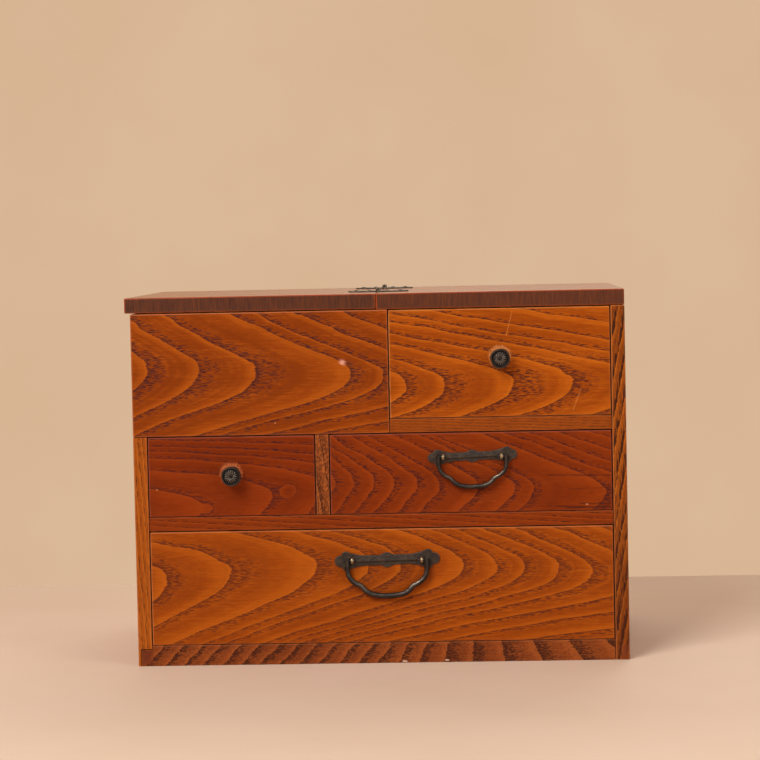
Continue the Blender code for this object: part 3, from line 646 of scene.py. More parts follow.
def settle(name: str, mesh: Mesh, material: Material, body: str, slot: str, *nodes: str) -> Piece:
    """Make a piece, ride it on its body and hide the CAD nodes it stands for.

    Args:
        name: The piece's name.
        mesh: Its mesh.
        material: Its material.
        body: The body it rides on.
        slot: Its slot, which is not used.
        nodes: The CAD nodes.

    Returns:
        The piece.
    """
    piece = link(name, mesh, material)
    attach(piece, body)
    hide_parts(*nodes)
    LOG.info("%s rides %s, %d faces, for %s", name, body, len(mesh.polygons), ", ".join(nodes))
    return piece


def mesh_of(shape: bmesh.types.BMesh, name: str) -> Mesh:
    """A mesh from an edit mesh.

    Args:
        shape: The edit mesh, which is freed.
        name: The mesh's name.

    Returns:
        The mesh.
    """
    mesh = bpy.data.meshes.new(name)
    shape.to_mesh(mesh)
    shape.free()
    return mesh


def merged(node: str) -> bmesh.types.BMesh:
    """A CAD node's mesh with its loose triangles joined and its flat faces made whole and shaded flat.

    Args:
        node: The CAD node.

    Returns:
        The edit mesh.
    """
    shape = bmesh.new()
    shape.from_mesh(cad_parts[node].data)
    bmesh.ops.remove_doubles(shape, verts=shape.verts, dist=MERGE)
    bmesh.ops.dissolve_limit(shape, angle_limit=math.radians(0.5), verts=shape.verts, edges=shape.edges)
    for face in shape.faces:
        face.smooth = False
    return shape


def rounded(node: str, radius: float, segments: int, length: float = LONG_EDGE, angle: float = 1.0) -> Mesh:
    """A CAD node's mesh with its long outer edges rounded.

    Args:
        node: The CAD node.
        radius: How far in the rounding starts.
        segments: How many faces it has.
        length: The length past which an edge is rounded.
        angle: The angle past which an edge is rounded.

    Returns:
        The mesh.
    """
    shape = merged(node)
    long = [edge for edge in shape.edges if len(edge.link_faces) == 2 and edge.calc_length() > length]
    sharp = [edge for edge in long if edge.calc_face_angle_signed(0) > angle]
    settings = {"segments": segments, "profile": 0.5, "affect": "EDGES", "clamp_overlap": True}
    bmesh.ops.bevel(shape, geom=sharp, offset=radius, **settings)
    return mesh_of(shape, node + "_eased")


def evaluated(holder: Piece, name: str) -> Mesh:
    """The plain mesh that an object's modifiers give.

    Args:
        holder: The object, which is removed with its modifiers.
        name: The mesh's name.

    Returns:
        The mesh.
    """
    mesh = bpy.data.meshes.new_from_object(holder.evaluated_get(bpy.context.evaluated_depsgraph_get()))
    mesh.name = name
    holder.modifiers.clear()
    bpy.data.objects.remove(holder)
    return mesh


def smoothed(mesh: Mesh, degrees: float) -> Mesh:
    """A mesh shaded smooth but for the edges past an angle."""
    mesh.shade_smooth()
    mesh.set_sharp_from_angle(angle=math.radians(degrees))
    return mesh


class NodeShape(Graph):
    """A Geometry Nodes tree with named inputs for its sizes."""

    def __init__(self, name: str, sizes: dict[str, Union[int, float]]) -> None:
        """Make the tree and its inputs.

        Args:
            name: The tree's name.
            sizes: The inputs and the numbers they take.
        """
        tree = bpy.data.node_groups.new(name, "GeometryNodeTree")
        tree.is_modifier = True
        super().__init__(tree)
        tree.interface.new_socket("Start", in_out="INPUT", socket_type="NodeSocketGeometry")
        self.given = {}
        for label, size in sizes.items():
            kind = "NodeSocketInt" if isinstance(size, int) else "NodeSocketFloat"
            made = tree.interface.new_socket(label, in_out="INPUT", socket_type=kind)
            self.given[made.identifier] = size
        tree.interface.new_socket("Shape", in_out="OUTPUT", socket_type="NodeSocketGeometry")
        self.entry = self.node("NodeGroupInput")
        self.start = self.entry.outputs["Start"]

    def size(self, label: str) -> Value:
        """One of the tree's sizes."""
        return Value(self, self.entry.outputs[label])

    def moved(self, geometry: Socket, shift: object = (0, 0, 0), turn: Point = (0, 0, 0)) -> Socket:
        """A shape turned and shifted."""
        sockets = {"Geometry": geometry, "Translation": shift, "Rotation": turn}
        return self.out("GeometryNodeTransform", sockets)

    def scaled(self, geometry: Socket, x: Operand, y: Operand, z: Operand) -> Socket:
        """A shape scaled along each axis."""
        return self.out("GeometryNodeTransform", {"Geometry": geometry, "Scale": self.vector(x, y, z)})

    def vector(self, x: Operand = 0.0, y: Operand = 0.0, z: Operand = 0.0) -> Socket:
        """A vector of three numbers."""
        return self.out("ShaderNodeCombineXYZ", {0: x, 1: y, 2: z})

    def ball(self, segments: int, rings: int) -> Socket:
        """A sphere of radius 1."""
        sockets = {"Segments": segments, "Rings": rings, "Radius": 1.0}
        return self.out("GeometryNodeMeshUVSphere", sockets)

    def post(self, sides: int, radius: Operand, length: Operand) -> Socket:
        """A round post along Z."""
        sockets = {"Vertices": sides, "Radius": radius, "Depth": length}
        return self.out("GeometryNodeMeshCylinder", sockets)

    def circle(self, steps: int, radius: Operand) -> Socket:
        """A round curve."""
        return self.out("GeometryNodeCurvePrimitiveCircle", {"Resolution": steps, "Radius": radius})

    def repeated(self, points: Socket, one: Socket, turn: object = (0, 0, 0)) -> Socket:
        """One shape at each of some points."""
        sockets = {"Points": points, "Instance": one, "Rotation": turn}
        return self.out("GeometryNodeInstanceOnPoints", sockets)

    def joined(self, *shapes: Socket) -> Socket:
        """Several shapes as one."""
        made = self.node("GeometryNodeJoinGeometry")
        for shape in shapes:
            self.tree.links.new(shape, made.inputs[0])
        return made.outputs[0]

    def grow(self, geometry: Socket, material: Material, start: Optional[Mesh] = None) -> Mesh:
        """Close the tree and turn its result into a plain mesh.

        Args:
            geometry: The last shape.
            material: The material it is given.
            start: The mesh that the tree starts from, or nothing.

        Returns:
            The mesh.
        """
        name = self.tree.name
        real = self.out("GeometryNodeRealizeInstances", {"Geometry": geometry})
        smooth = self.out("GeometryNodeSetShadeSmooth", {"Geometry": real})
        painted = self.out("GeometryNodeSetMaterial", {"Geometry": smooth, "Material": material})
        self.node("NodeGroupOutput", {0: painted})
        holder = link(name, start or bpy.data.meshes.new(name + "_start"))
        modifier = holder.modifiers.new(name, "NODES")
        modifier.node_group = self.tree
        for identifier, size in self.given.items():
            modifier[identifier] = size
        return evaluated(holder, name + "_mesh")


def points_mesh(name: str, points: list[Vector], chained: bool = False) -> Mesh:
    """A mesh of points.

    Args:
        name: The mesh's name.
        points: The points.
        chained: Whether they are joined in a chain.

    Returns:
        The mesh.
    """
    mesh = bpy.data.meshes.new(name)
    edges = [(number, number + 1) for number in range(len(points) - 1)] if chained else []
    mesh.from_pydata(points, edges, [])
    return mesh


def turned(name: str, profile: list[Pair], sides: int, centre: Vector) -> Mesh:
    """A shape turned round an axis along Y.

    Args:
        name: The mesh's name.
        profile: Its radius and its height towards the front, in pairs.
        sides: How many sides it has.
        centre: The place on its axis where its height is 0.

    Returns:
        The mesh.
    """
    shape = bmesh.new()
    verts = [shape.verts.new((radius, 0, height)) for radius, height in profile]
    edges = [shape.edges.new(pair) for pair in zip(verts, verts[1:])]
    whole = {"axis": (0, 0, 1), "angle": math.tau, "steps": sides, "use_merge": True}
    bmesh.ops.spin(shape, geom=verts + edges, cent=(0, 0, 0), **whole)
    bmesh.ops.remove_doubles(shape, verts=shape.verts, dist=MERGE)
    bmesh.ops.recalc_face_normals(shape, faces=shape.faces)
    shape.transform(Matrix.Translation(centre) @ Matrix.Rotation(math.pi / 2, 4, "X"))
    return smoothed(mesh_of(shape, name), 40)


def eased(profile: list[Pair], steps: int) -> list[Pair]:
    """A profile with its corners rounded.

    Args:
        profile: The profile's points.
        steps: How many times over its corners are cut off.

    Returns:
        The rounded profile's points.
    """
    for _ in range(steps):
        cut = [profile[0]]
        for (r0, h0), (r1, h1) in zip(profile, profile[1:]):
            cut += [(r0 + (r1 - r0) * share, h0 + (h1 - h0) * share) for share in (0.25, 0.75)]
        profile = cut + [profile[-1]]
    return profile


def write_wear_and_highlight(mesh: Mesh, wear: object) -> None:
    """Write each point's share of rubbed metal, which on the bail is also painted highlight, to the mesh's
    attribute for the iron.
    """
    mesh.attributes.new("wear", "FLOAT", "POINT").data.foreach_set("value", np.array(wear, dtype=np.float32))


def mark_wear(mesh: Mesh, gain: float) -> None:
    """Wear each point of a dense mesh by how far it stands proud of its neighbours.

    Args:
        mesh: The mesh.
        gain: What how far it stands proud, in edge lengths, is multiplied by.
    """
    count = len(mesh.vertices)
    places, normals = np.zeros((count, 3)), np.zeros((count, 3))
    mesh.vertices.foreach_get("co", places.ravel())
    mesh.vertices.foreach_get("normal", normals.ravel())
    edges = np.zeros((len(mesh.edges), 2), dtype=np.int64)
    mesh.edges.foreach_get("vertices", edges.ravel())
    first, second = edges.T
    degree = np.maximum(np.bincount(edges.ravel(), minlength=count), 1)

    def neighbours(values: np.ndarray) -> np.ndarray:
        """The mean of a value over each point's neighbours."""
        total = np.zeros_like(values)
        np.add.at(total, first, values[second])
        np.add.at(total, second, values[first])
        return (total.T / degree).T

    step = np.linalg.norm(places[first] - places[second], axis=1).mean()
    proud = ((places - neighbours(places)) * normals).sum(axis=1) / step
    for _ in range(2):
        proud = (proud + neighbours(proud)) / 2
    write_wear_and_highlight(mesh, np.clip(proud * gain, 0, 1))


def hammered(mesh: Mesh, depth: float, width: float, bias: float, reshape: Reshape = None) -> Mesh:
    """A mesh whose points are moved along their normals, as if hammered.

    Args:
        mesh: The mesh.
        depth: How deep the dents are.
        width: How wide they are.
        bias: How much of their depth is the same all over.
        reshape: Moves a point before the dents are made, or nothing.

    Returns:
        The mesh.
    """
    normals = [vertex.normal.copy() for vertex in mesh.vertices]
    places = [reshape(vertex.co) if reshape else vertex.co for vertex in mesh.vertices]
    dents = [depth * (noise.noise(place / width) + bias) for place in places]
    moved = [place + normal * dent for place, normal, dent in zip(places, normals, dents)]
    mesh.vertices.foreach_set("co", np.array(moved, dtype=np.float32).ravel())
    mesh.update()
    return mesh


def forged(node: str, voxel: float, depth: float, width: float, reshape: Reshape = None) -> Mesh:
    """A dense, slightly uneven copy of a CAD node, with worn high spots.

    Args:
        node: The CAD node.
        voxel: The size of the new mesh's faces.
        depth: How deep the dents are.
        width: How wide they are.
        reshape: Moves a point before the dents are made, or nothing.

    Returns:
        The mesh.
    """
    holder = link(node + "_blank", mesh_of(merged(node), node + "_blank"))
    remesh = holder.modifiers.new("faces", "REMESH")
    remesh.mode = "VOXEL"
    remesh.voxel_size = voxel
    mesh = hammered(evaluated(holder, node + "_forged"), depth, width, 0.0, reshape)
    mark_wear(mesh, FORGED_WEAR)
    mesh.shade_smooth()
    return mesh


@dataclass
class Board:
    """A board cut from its CAD node, with eased arrises and a finish of its own or one that it shares."""

    node: str
    finish: Union[WoodFinish, Material]
    arris: float
    slot: str = "carcass_wood"
    body: str = "carcass"
    segments: int = 4

    def build(self) -> Piece:
        """Ease the board's long outer edges and dress it."""
        own = isinstance(self.finish, WoodFinish)
        material = self.finish.material(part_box(self.node)) if own else self.finish
        mesh = rounded(self.node, self.arris, self.segments)
        return settle(self.node + "_eased", mesh, material, self.body, self.slot, self.node)


@dataclass
class Knob:
    """A turned iron knob with a ring of petals on its face, and the nut behind it."""

    drawer: str
    iron: Material
    width: float = 14.0 * MM
    rim: float = 11.8 * MM
    flower: float = 9.2 * MM
    neck: float = 8.6 * MM
    collar: float = 10.6 * MM
    shank: float = 3.6 * MM
    reach: float = 11.2 * MM
    groove: float = 1.2 * MM
    petals: int = 16
    petal_width: float = 0.34 * MM
    petal_height: float = 0.6 * MM
    hub: float = 0.7 * MM
    hub_height: float = 0.25 * MM
    uneven: float = 0.07
    wear: float = 2.4
    petal_wear_and_highlight: float = 0.75
    nut_arris: float = 0.3 * MM
    nut_edge: float = 2.0 * MM

    def build(self) -> list[Piece]:
        """Turn the body, set the petals on it, file the nut and dress both."""
        name, body, nut = f"{self.drawer}_knob", f"{self.drawer}_drawer", f"{self.drawer}_knob_nut"
        low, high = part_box(name)
        centre = Vector(((low.x + high.x) / 2, low.y + self.reach, (low.z + high.z) / 2))
        barrel = turned(name + "_body", self.profile(high.y - centre.y), 64, centre)
        self.file(barrel, centre)
        shape = bmesh.new()
        for mesh in (barrel, self.flower_mesh(centre)):
            shape.from_mesh(mesh)
        mesh = smoothed(mesh_of(shape, name + "_turned"), 50)
        mark_wear(mesh, self.wear)
        wear = mesh.attributes["wear"].data
        # The petals' front faces get the bright tone: rubbed metal and a painted highlight.
        for vertex in mesh.vertices[len(barrel.vertices) :]:
            out = math.hypot(vertex.co.x - centre.x, vertex.co.z - centre.z)
            bright = self.petal_wear_and_highlight * max(0.0, -vertex.normal.y) ** 3
            wear[vertex.index].value = bright if out > 1.0 * MM else 0.0
        nut_mesh = rounded(nut, self.nut_arris, 2, self.nut_edge, -math.pi)
        return [
            settle(name + "_turned", mesh, self.iron, body, "black_iron", name),
            settle(nut + "_filed", nut_mesh, self.iron, body, "black_iron", nut),
        ]

    def file(self, mesh: Mesh, centre: Vector) -> None:
        """Take the turned body a little out of round towards its edge.

        Args:
            mesh: The body's mesh.
            centre: The place on its axis at the wood.
        """
        for vertex in mesh.vertices:
            gap = vertex.co - centre
            turn, share = math.atan2(gap.z, gap.x), math.hypot(gap.x, gap.z) / (self.width / 2)
            dip = 0.5 + 0.3 * math.sin(4 * turn + 0.6) + 0.2 * math.sin(3 * turn + 2.0)
            swell = 1 - self.uneven * share**2 * dip
            vertex.co.x, vertex.co.z = centre.x + gap.x * swell, centre.z + gap.z * swell

    def profile(self, inner: float) -> list[Pair]:
        """Radius and height pairs from the face's middle to the shank's end.

        Args:
            inner: How far the shank reaches into the wood.

        Returns:
            The pairs.
        """
        top, dish = self.reach - 0.5 * MM, self.reach - 0.5 * MM - self.groove
        foot = 0.15 * MM
        wide, rim, neck, collar, shank = (
            size / 2 for size in (self.width, self.rim, self.neck, self.collar, self.shank)
        )
        face = [
            (0.0, self.reach - 1.1 * MM),
            (1.0 * MM, self.reach - 1.0 * MM),
            (self.flower / 2, dish),
            (rim - 0.9 * MM, dish),
            (rim - 0.2 * MM, top),
            (rim + 0.4 * MM, top),
            (wide - 0.1 * MM, top - 1.6 * MM),
            (wide, top - 3.4 * MM),
            (wide - 0.9 * MM, top - 5.2 * MM),
            (neck + 0.3 * MM, top - 6.6 * MM),
            (neck, top - 7.6 * MM),
            (neck + 0.4 * MM, 1.9 * MM),
            (collar, 1.5 * MM),
            (collar, foot),
        ]
        return eased(face, 2) + [(shank, foot), (shank, 0.3 * MM - inner), (1.5 * MM, -inner), (0.0, -inner)]

    def flower_mesh(self, centre: Vector) -> Mesh:
        """The petals and their ring, by a tree that repeats one petal round the knob's axis.

        Args:
            centre: The place on the knob's axis at the wood.

        Returns:
            The mesh.
        """
        petal_sizes = {"Length": self.flower * 0.20, "Width": self.petal_width, "Height": self.petal_height}
        sizes = {"Petals": self.petals, "Ring": self.flower * 0.30, **petal_sizes}
        tree = NodeShape(f"{self.drawer}_knob_flower", sizes)
        count = tree.size("Petals")
        ring = tree.out("GeometryNodeMeshCircle", {"Vertices": count, "Radius": tree.size("Ring")})
        petal = tree.scaled(tree.ball(12, 8), *(tree.size(label) for label in petal_sizes))
        turn = tree.vector(z=tree.value("GeometryNodeInputIndex") * math.tau / count)
        hub = tree.scaled(tree.ball(16, 8), self.hub, self.hub, self.hub_height)
        shift = centre - Vector((0, self.reach - 1.0 * MM, 0))
        both = tree.joined(tree.repeated(ring, petal, turn), hub)
        return tree.grow(tree.moved(both, tuple(shift), (math.pi / 2, 0, 0)), self.iron)


@dataclass
class Pull:
    """A bail handle: a lobed plate with a low ridge, two brass eyes, and the bail that swings in them."""

    name: str
    scale: float
    tilt: float
    iron: Material
    bail_iron: Material
    brass: Material
    span: float = 53.0 * MM
    drop: float = 23.8 * MM
    wire: float = 3.7 * MM
    leg_top: float = 1.2 * MM
    middle_swell: float = 1.10
    leg_swell: float = 0.94
    trunnion: float = 1.8 * MM
    eye: float = 4.5 * MM
    eye_wire: float = 1.2 * MM
    eye_width: float = 2.0 * MM
    stub: float = 1.6 * MM
    shank: float = 2.2 * MM
    clench: float = 10.6 * MM
    ridge_drop: float = 0.4 * MM
    ridge_reach: float = 24.0 * MM
    ridge_fade: float = 4.0 * MM
    upper_slope: float = 4.2 * MM
    upper_loss: float = 0.30
    lower_slope: float = 1.1 * MM
    lower_loss: float = 0.52
    lobe_share: float = 0.72
    plate_face: float = 0.28 * MM
    plate_dent: float = 0.12 * MM
    plate_dent_width: float = 1.0 * MM
    bail_dent: float = 0.2 * MM
    bail_dent_width: float = 3.0 * MM
    shape: tuple[Pair, ...] = (
        (1.004, -0.235), (0.981, -0.403), (0.906, -0.538), (0.795, -0.640), (0.668, -0.712),
        (0.605, -0.782), (0.535, -0.862), (0.405, -0.944), (0.215, -0.987), (0.000, -1.000),
    )

    def build(self) -> list[Piece]:
        """Make and dress the plate, the eyes and the bail."""
        plate, bail, drawer = f"{self.name}_backplate", f"{self.name}_bail", f"{self.name}_drawer"
        pins = [f"{self.name}_{side}_eye_pin" for side in ("left", "right")]
        low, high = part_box(plate)
        middle = (low + high) / 2
        boxes = [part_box(pin) for pin in pins]
        pivot = Vector((middle.x, boxes[0][0].y + self.eye / 2, middle.z))
        eyes = [Vector(((one.x + two.x) / 2, pivot.y, pivot.z)) for one, two in boxes]
        plate_mesh, eyes_mesh = self.plate_mesh(plate, middle, high.y), self.eyes_mesh(eyes, boxes[0][1].y)
        bail_mesh = self.bail_mesh(pivot, eyes)
        return [
            settle(f"{self.name}_plate_forged", plate_mesh, self.iron, drawer, "black_iron", plate),
            settle(f"{self.name}_eyes_brass", eyes_mesh, self.brass, drawer, "eye_brass", *pins),
            settle(f"{self.name}_bail_forged", bail_mesh, self.bail_iron, bail, "black_iron", bail),
        ]

    def plate_mesh(self, node: str, middle: Vector, wood: float) -> Mesh:
        """The plate with a ridge between its eyes and thin lobes at its ends.

        Args:
            node: The plate's CAD node.
            middle: The plate's middle.
            wood: Where the wood's face lies.

        Returns:
            The mesh.
        """
        way = Vector((math.cos(self.tilt), 0, math.sin(self.tilt)))
        up = Vector((-way.z, 0, way.x))

        def reshape(place: Vector) -> Vector:
            """Thin the plate away from its ridge."""
            gap = place - middle
            side, rise = abs(gap.dot(way)), gap.dot(up) + self.ridge_drop
            inside = min(1.0, max(0.0, (self.ridge_reach * self.scale - side) / self.ridge_fade))
            above = 1.0 - self.upper_loss * min(1.0, rise / self.upper_slope)
            below = 1.0 - self.lower_loss * min(1.0, -rise / self.lower_slope)
            share = self.lobe_share + ((above if rise > 0 else below) - self.lobe_share) * inside
            return Vector((place.x, wood + (place.y - wood) * share, place.z))

        return forged(node, self.plate_face, self.plate_dent, self.plate_dent_width, reshape)

    def eyes_mesh(self, eyes: list[Vector], behind: float) -> Mesh:
        """Two eyes with their shanks and clenched legs, by a tree that repeats one of them.

        Args:
            eyes: The eyes' middles.
            behind: How far back the legs reach.

        Returns:
            The mesh.
        """
        ring = (self.eye - self.eye_wire) / 2
        hoop_sizes = {"Ring": ring, "Wire": self.eye_wire / 2, "Width": self.eye_width / self.eye_wire}
        sizes = {**hoop_sizes, "Shank": self.shank / 2, "Reach": behind - eyes[0].y - ring}
        tree = NodeShape(f"{self.name}_eyes", sizes)
        around, reach = tree.size("Ring"), tree.size("Reach")
        wire = {"Curve": tree.circle(36, around), "Profile Curve": tree.circle(14, tree.size("Wire"))}
        hoop = tree.scaled(tree.out("GeometryNodeCurveToMesh", wire), 1.0, 1.0, tree.size("Width"))
        hoop = tree.moved(hoop, turn=(0, math.pi / 2, 0))
        shank = tree.post(20, tree.size("Shank"), reach)
        shank = tree.moved(shank, tree.vector(y=around + reach / 2), (math.pi / 2, 0, 0))
        flat = {"Size": (self.shank * 0.9, 0.8 * MM, self.clench), "Vertices Z": 6}
        leg = tree.moved(tree.out("GeometryNodeMeshCube", flat), tree.vector(y=around + reach - 0.45 * MM))
        both = tree.repeated(tree.start, tree.joined(hoop, shank, leg))
        return smoothed(tree.grow(both, self.brass, points_mesh(f"{self.name}_eye_places", eyes)), 45)

    def bail_mesh(self, pivot: Vector, eyes: list[Vector]) -> Mesh:
        """The bail, by a tree that sweeps a swelling wire along its path, with a stub into each eye.

        Args:
            pivot: The middle of the line that the bail swings about.
            eyes: The eyes' middles.

        Returns:
            The mesh.
        """
        half, drop = self.span * self.scale / 2, self.drop * self.scale
        right = [(half, self.leg_top * self.scale)] + [(u * half, v * drop) for u, v in self.shape]
        path = [pivot + Vector((x, 0, z)) for x, z in right + [(-x, z) for x, z in reversed(right[:-1])]]
        swells = {"Half": half, "Middle": self.middle_swell, "Legs": self.leg_swell}
        sizes = {"Wire": self.wire * self.scale / 2, **swells, "Stub": self.trunnion / 2, "Steps": 160}
        tree = NodeShape(f"{self.name}_bail_sweep", sizes)
        curve = tree.out("GeometryNodeMeshToCurve", {"Mesh": tree.start})
        curve = tree.out("GeometryNodeCurveSplineType", {"Curve": curve}, {"spline_type": "CATMULL_ROM"})
        curve = tree.out("GeometryNodeResampleCurve", {"Curve": curve, "Count": tree.size("Steps")})
        split = tree.node("ShaderNodeSeparateXYZ", {0: tree.out("GeometryNodeInputPosition")})
        aside = abs(Value(tree, split.outputs[0]) - pivot.x) / tree.size("Half")
        swell = tree.size("Middle") + (tree.size("Legs") - tree.size("Middle")) * aside
        wire = {"Profile Curve": tree.circle(18, 1.0), "Scale": swell * tree.size("Wire"), "Fill Caps": True}
        shapes = [tree.out("GeometryNodeCurveToMesh", {"Curve": curve, **wire})]
        for sign, eye in zip((-1, 1), eyes):
            leg_x = pivot.x + sign * half
            tip_x = eye.x - sign * (self.eye_width / 2 + self.stub)
            stub = tree.post(16, tree.size("Stub"), abs(leg_x - tip_x))
            shapes.append(tree.moved(stub, ((leg_x + tip_x) / 2, pivot.y, pivot.z), (0, math.pi / 2, 0)))
        start = points_mesh(f"{self.name}_bail_path", path, True)
        mesh = tree.grow(tree.joined(*shapes), self.bail_iron, start)
        hammered(mesh, -self.bail_dent, self.bail_dent_width, 0.3)
        self.mark_bail_wear_and_highlight(mesh, pivot, half)
        return mesh

    def mark_bail_wear_and_highlight(self, mesh: Mesh, pivot: Vector, half: float) -> None:
        """Give the bail a bright tone: rubbed metal at its shoulders and kinks, and a painted highlight on
        the side that faces the light.

        Args:
            mesh: The bail's mesh.
            pivot: The middle of the line that it swings about.
            half: Half of its span.
        """
        # Painted highlight: the bright tone grows with how far each point faces the light, from the upper
        # left front.
        light = Vector((-0.25, -0.75, 0.6)).normalized()
        wear = []
        for vertex in mesh.vertices:
            bend = math.exp(-(((abs(vertex.co.x - pivot.x) / half - 0.70) / 0.17) ** 2))
            facing = max(0.0, vertex.normal.dot(light))
            patchy = noise.noise(vertex.co / self.bail_dent_width) * 0.5 + 0.6
            wear.append(min(1.0, (0.25 + bend) * facing**3 * patchy))
        write_wear_and_highlight(mesh, wear)


@dataclass
class Hinge:
    """A hinge across the top's seam: two hammered leaves, a pin and four nails."""

    name: str
    iron: Material
    head: float = 3.0 * MM
    head_height: float = 0.5 * MM
    nail: float = 1.4 * MM
    nail_length: float = 7.6 * MM
    nail_wear: float = 0.6
    pin_wear: float = 0.5
    pin_arris: float = 0.2 * MM
    face: float = 0.26 * MM
    dent: float = 0.12 * MM
    dent_width: float = 1.4 * MM

    def build(self) -> list[Piece]:
        """Make and dress the leaves, the pin and the nails."""
        made = []
        for half, body in (("lid", "lid"), ("top", "carcass")):
            leaf = f"{self.name}_{half}_leaf"
            nails = [f"{self.name}_{half}_nail_{number}" for number in (1, 2)]
            leaf_mesh = forged(leaf, self.face, self.dent, self.dent_width)
            made.append(settle(leaf + "_forged", leaf_mesh, self.iron, body, "hinge_iron", leaf))
            name = f"{self.name}_{half}_nails"
            nails_mesh = self.nails_mesh(name, nails)
            made.append(settle(name + "_forged", nails_mesh, self.iron, body, "hinge_iron", *nails))
        pin = f"{self.name}_pin"
        low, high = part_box(pin)
        radius, end = (high.x - low.x) / 2, (high.y - low.y) / 2
        profile = [(0, end), (radius * 0.7, end), (radius, end - self.pin_arris)]
        profile += [(r, -h) for r, h in reversed(profile)]
        pin_mesh = turned(pin + "_turned", profile, 24, (low + high) / 2)
        mark_wear(pin_mesh, self.pin_wear)
        made.append(settle(pin + "_turned", pin_mesh, self.iron, "carcass", "hinge_iron", pin))
        return made

    def nails_mesh(self, name: str, nails: list[str]) -> Mesh:
        """Two dome-headed nails, by a tree that repeats one.

        Args:
            name: The tree's name.
            nails: The nails' CAD nodes.

        Returns:
            The mesh.
        """
        boxes = [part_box(nail) for nail in nails]
        heads = [Vector((*((low + high) / 2).xy, high.z - self.head_height)) for low, high in boxes]
        head_sizes = {"Head": self.head / 2, "Height": self.head_height}
        tree = NodeShape(name, {**head_sizes, "Shank": self.nail / 2, "Length": self.nail_length})
        head, thick, length = tree.size("Head"), tree.size("Shank"), tree.size("Length")
        dome = tree.scaled(tree.ball(20, 12), head, head, tree.size("Height"))
        cone = {"Vertices": 14, "Radius Top": thick, "Radius Bottom": thick * 0.3, "Depth": length}
        shank = tree.moved(tree.out("GeometryNodeMeshCone", cone), tree.vector(z=length * -1))
        both = tree.repeated(tree.start, tree.joined(dome, shank))
        mesh = tree.grow(both, self.iron, points_mesh(name + "_places", heads))
        mark_wear(mesh, self.nail_wear)
        return mesh


def widening(first: float, step: float, even: int, growth: float, wider: int) -> tuple[float, ...]:
    """Where rings lie that come at even steps and then at growing ones.

    Args:
        first: Where the first ring lies.
        step: The even step.
        even: How many even steps there are.
        growth: How much each later step gains.
        wider: How many later steps there are.

    Returns:
        The places of the rings.
    """
    steps = [step] * even + [step + growth * (number + 1) for number in range(wider)]
    return tuple(first + sum(steps[:number]) for number in range(len(steps) + 1))


# The fifth tone of each is its arrises' pale tone: rubbed lacquer and painted sheen.
ORANGE = Tones((139, 60, 7), (184, 94, 18), (104, 40, 6), (54, 25, 26), (200, 122, 80))
BRIGHT = Tones((162, 75, 8), (198, 106, 22), (112, 44, 8), (56, 23, 20), (214, 140, 78))
WARM = Tones((156, 71, 8), (188, 98, 22), (108, 43, 10), (82, 36, 18), (206, 124, 74))
RED = Tones((124, 44, 4), (146, 60, 14), (92, 31, 7), (64, 26, 22), (154, 84, 68))
DEEP_RED = Tones((130, 48, 5), (150, 64, 15), (92, 32, 8), (62, 26, 20), (152, 82, 66))
EDGE = Tones((164, 82, 18), (186, 104, 34), (122, 54, 14), (70, 30, 12), (196, 122, 70))
STRIPED = Tones((156, 77, 17), (192, 106, 28), (70, 29, 12), (34, 15, 10), (190, 112, 62))
RAIL = Tones((145, 68, 15), (170, 88, 28), (108, 46, 12), (72, 32, 16))
DARK_RAIL = Tones((132, 51, 7), (152, 67, 16), (94, 35, 8), (62, 26, 14))
FLECKED = Tones((148, 75, 30), (174, 96, 44), (104, 47, 18), (54, 24, 13))
FOOT = Tones((142, 68, 27), (162, 86, 36), (84, 37, 17), (60, 28, 15))
TOP = Tones((178, 102, 34), (200, 124, 52), (122, 62, 22), (70, 32, 15), (164, 66, 26), (74, 37, 25))
PALE = Tones(
    (196, 160, 116), (208, 176, 134), (176, 138, 96), (146, 109, 72), (212, 184, 146), (168, 128, 86)
)
STAIN = (62, 25, 16)
DARK_STAIN = (66, 26, 16)
CHIP = (226, 190, 160)
RUB_MARK = (216, 140, 70)

FRONT_Y = -0.105
FRONT_FACE = RingField(face=FRONT_Y, slope=2.5)
PANEL_RINGS = replace(
    FRONT_FACE, axis=0.200, middle=-0.080, lean=-0.05, reach=(2.8, 3.2), reach_gain=(10.0, 15.0),
    power=(1.0, 1.5), blunt=(0.006, 0.018), band=0.017,
    tips=(-0.190, -0.155, -0.120, -0.081, -0.017, 0.004, 0.045, 0.090, 0.140, 0.200),
)
TOP_RIGHT_RINGS = replace(
    FRONT_FACE, axis=0.187, middle=0.080, reach=(3.6, 2.8), reach_gain=(6.0, 0.0),
    power=(1.5, 1.5), blunt=(0.004, 0.009), band=0.019,
    tips=(-0.010, 0.018, 0.045, 0.090, 0.130, 0.178, 0.213, 0.262, 0.343, 0.440),
)
BOTTOM_RINGS = replace(
    FRONT_FACE, axis=0.067, bow=-0.35, reach=(2.6, 2.5), reach_gain=(0.0, 4.0),
    power=(1.3, 1.5), blunt=(0.006, 0.008), band=0.016,
    tips=(-0.190, -0.144, -0.102, -0.043, -0.008, 0.013, 0.055, 0.077, 0.095, 0.118, 0.140, 0.175,
          0.215, 0.270),
)
MIDDLE_RIGHT_RINGS = replace(
    FRONT_FACE, axis=0.120, middle=0.030, lean=-0.055, reach=(1.8, 0.95), reach_gain=(8.0, 3.0),
    power=(1.4, 1.2), blunt=(0.003, 0.004), band=0.009,
    tips=(-0.030, -0.017, -0.004, 0.009, 0.025, 0.040, 0.066, 0.090, 0.103, 0.152, 0.176, 0.200,
          0.230, 0.265, 0.310, 0.380),
)
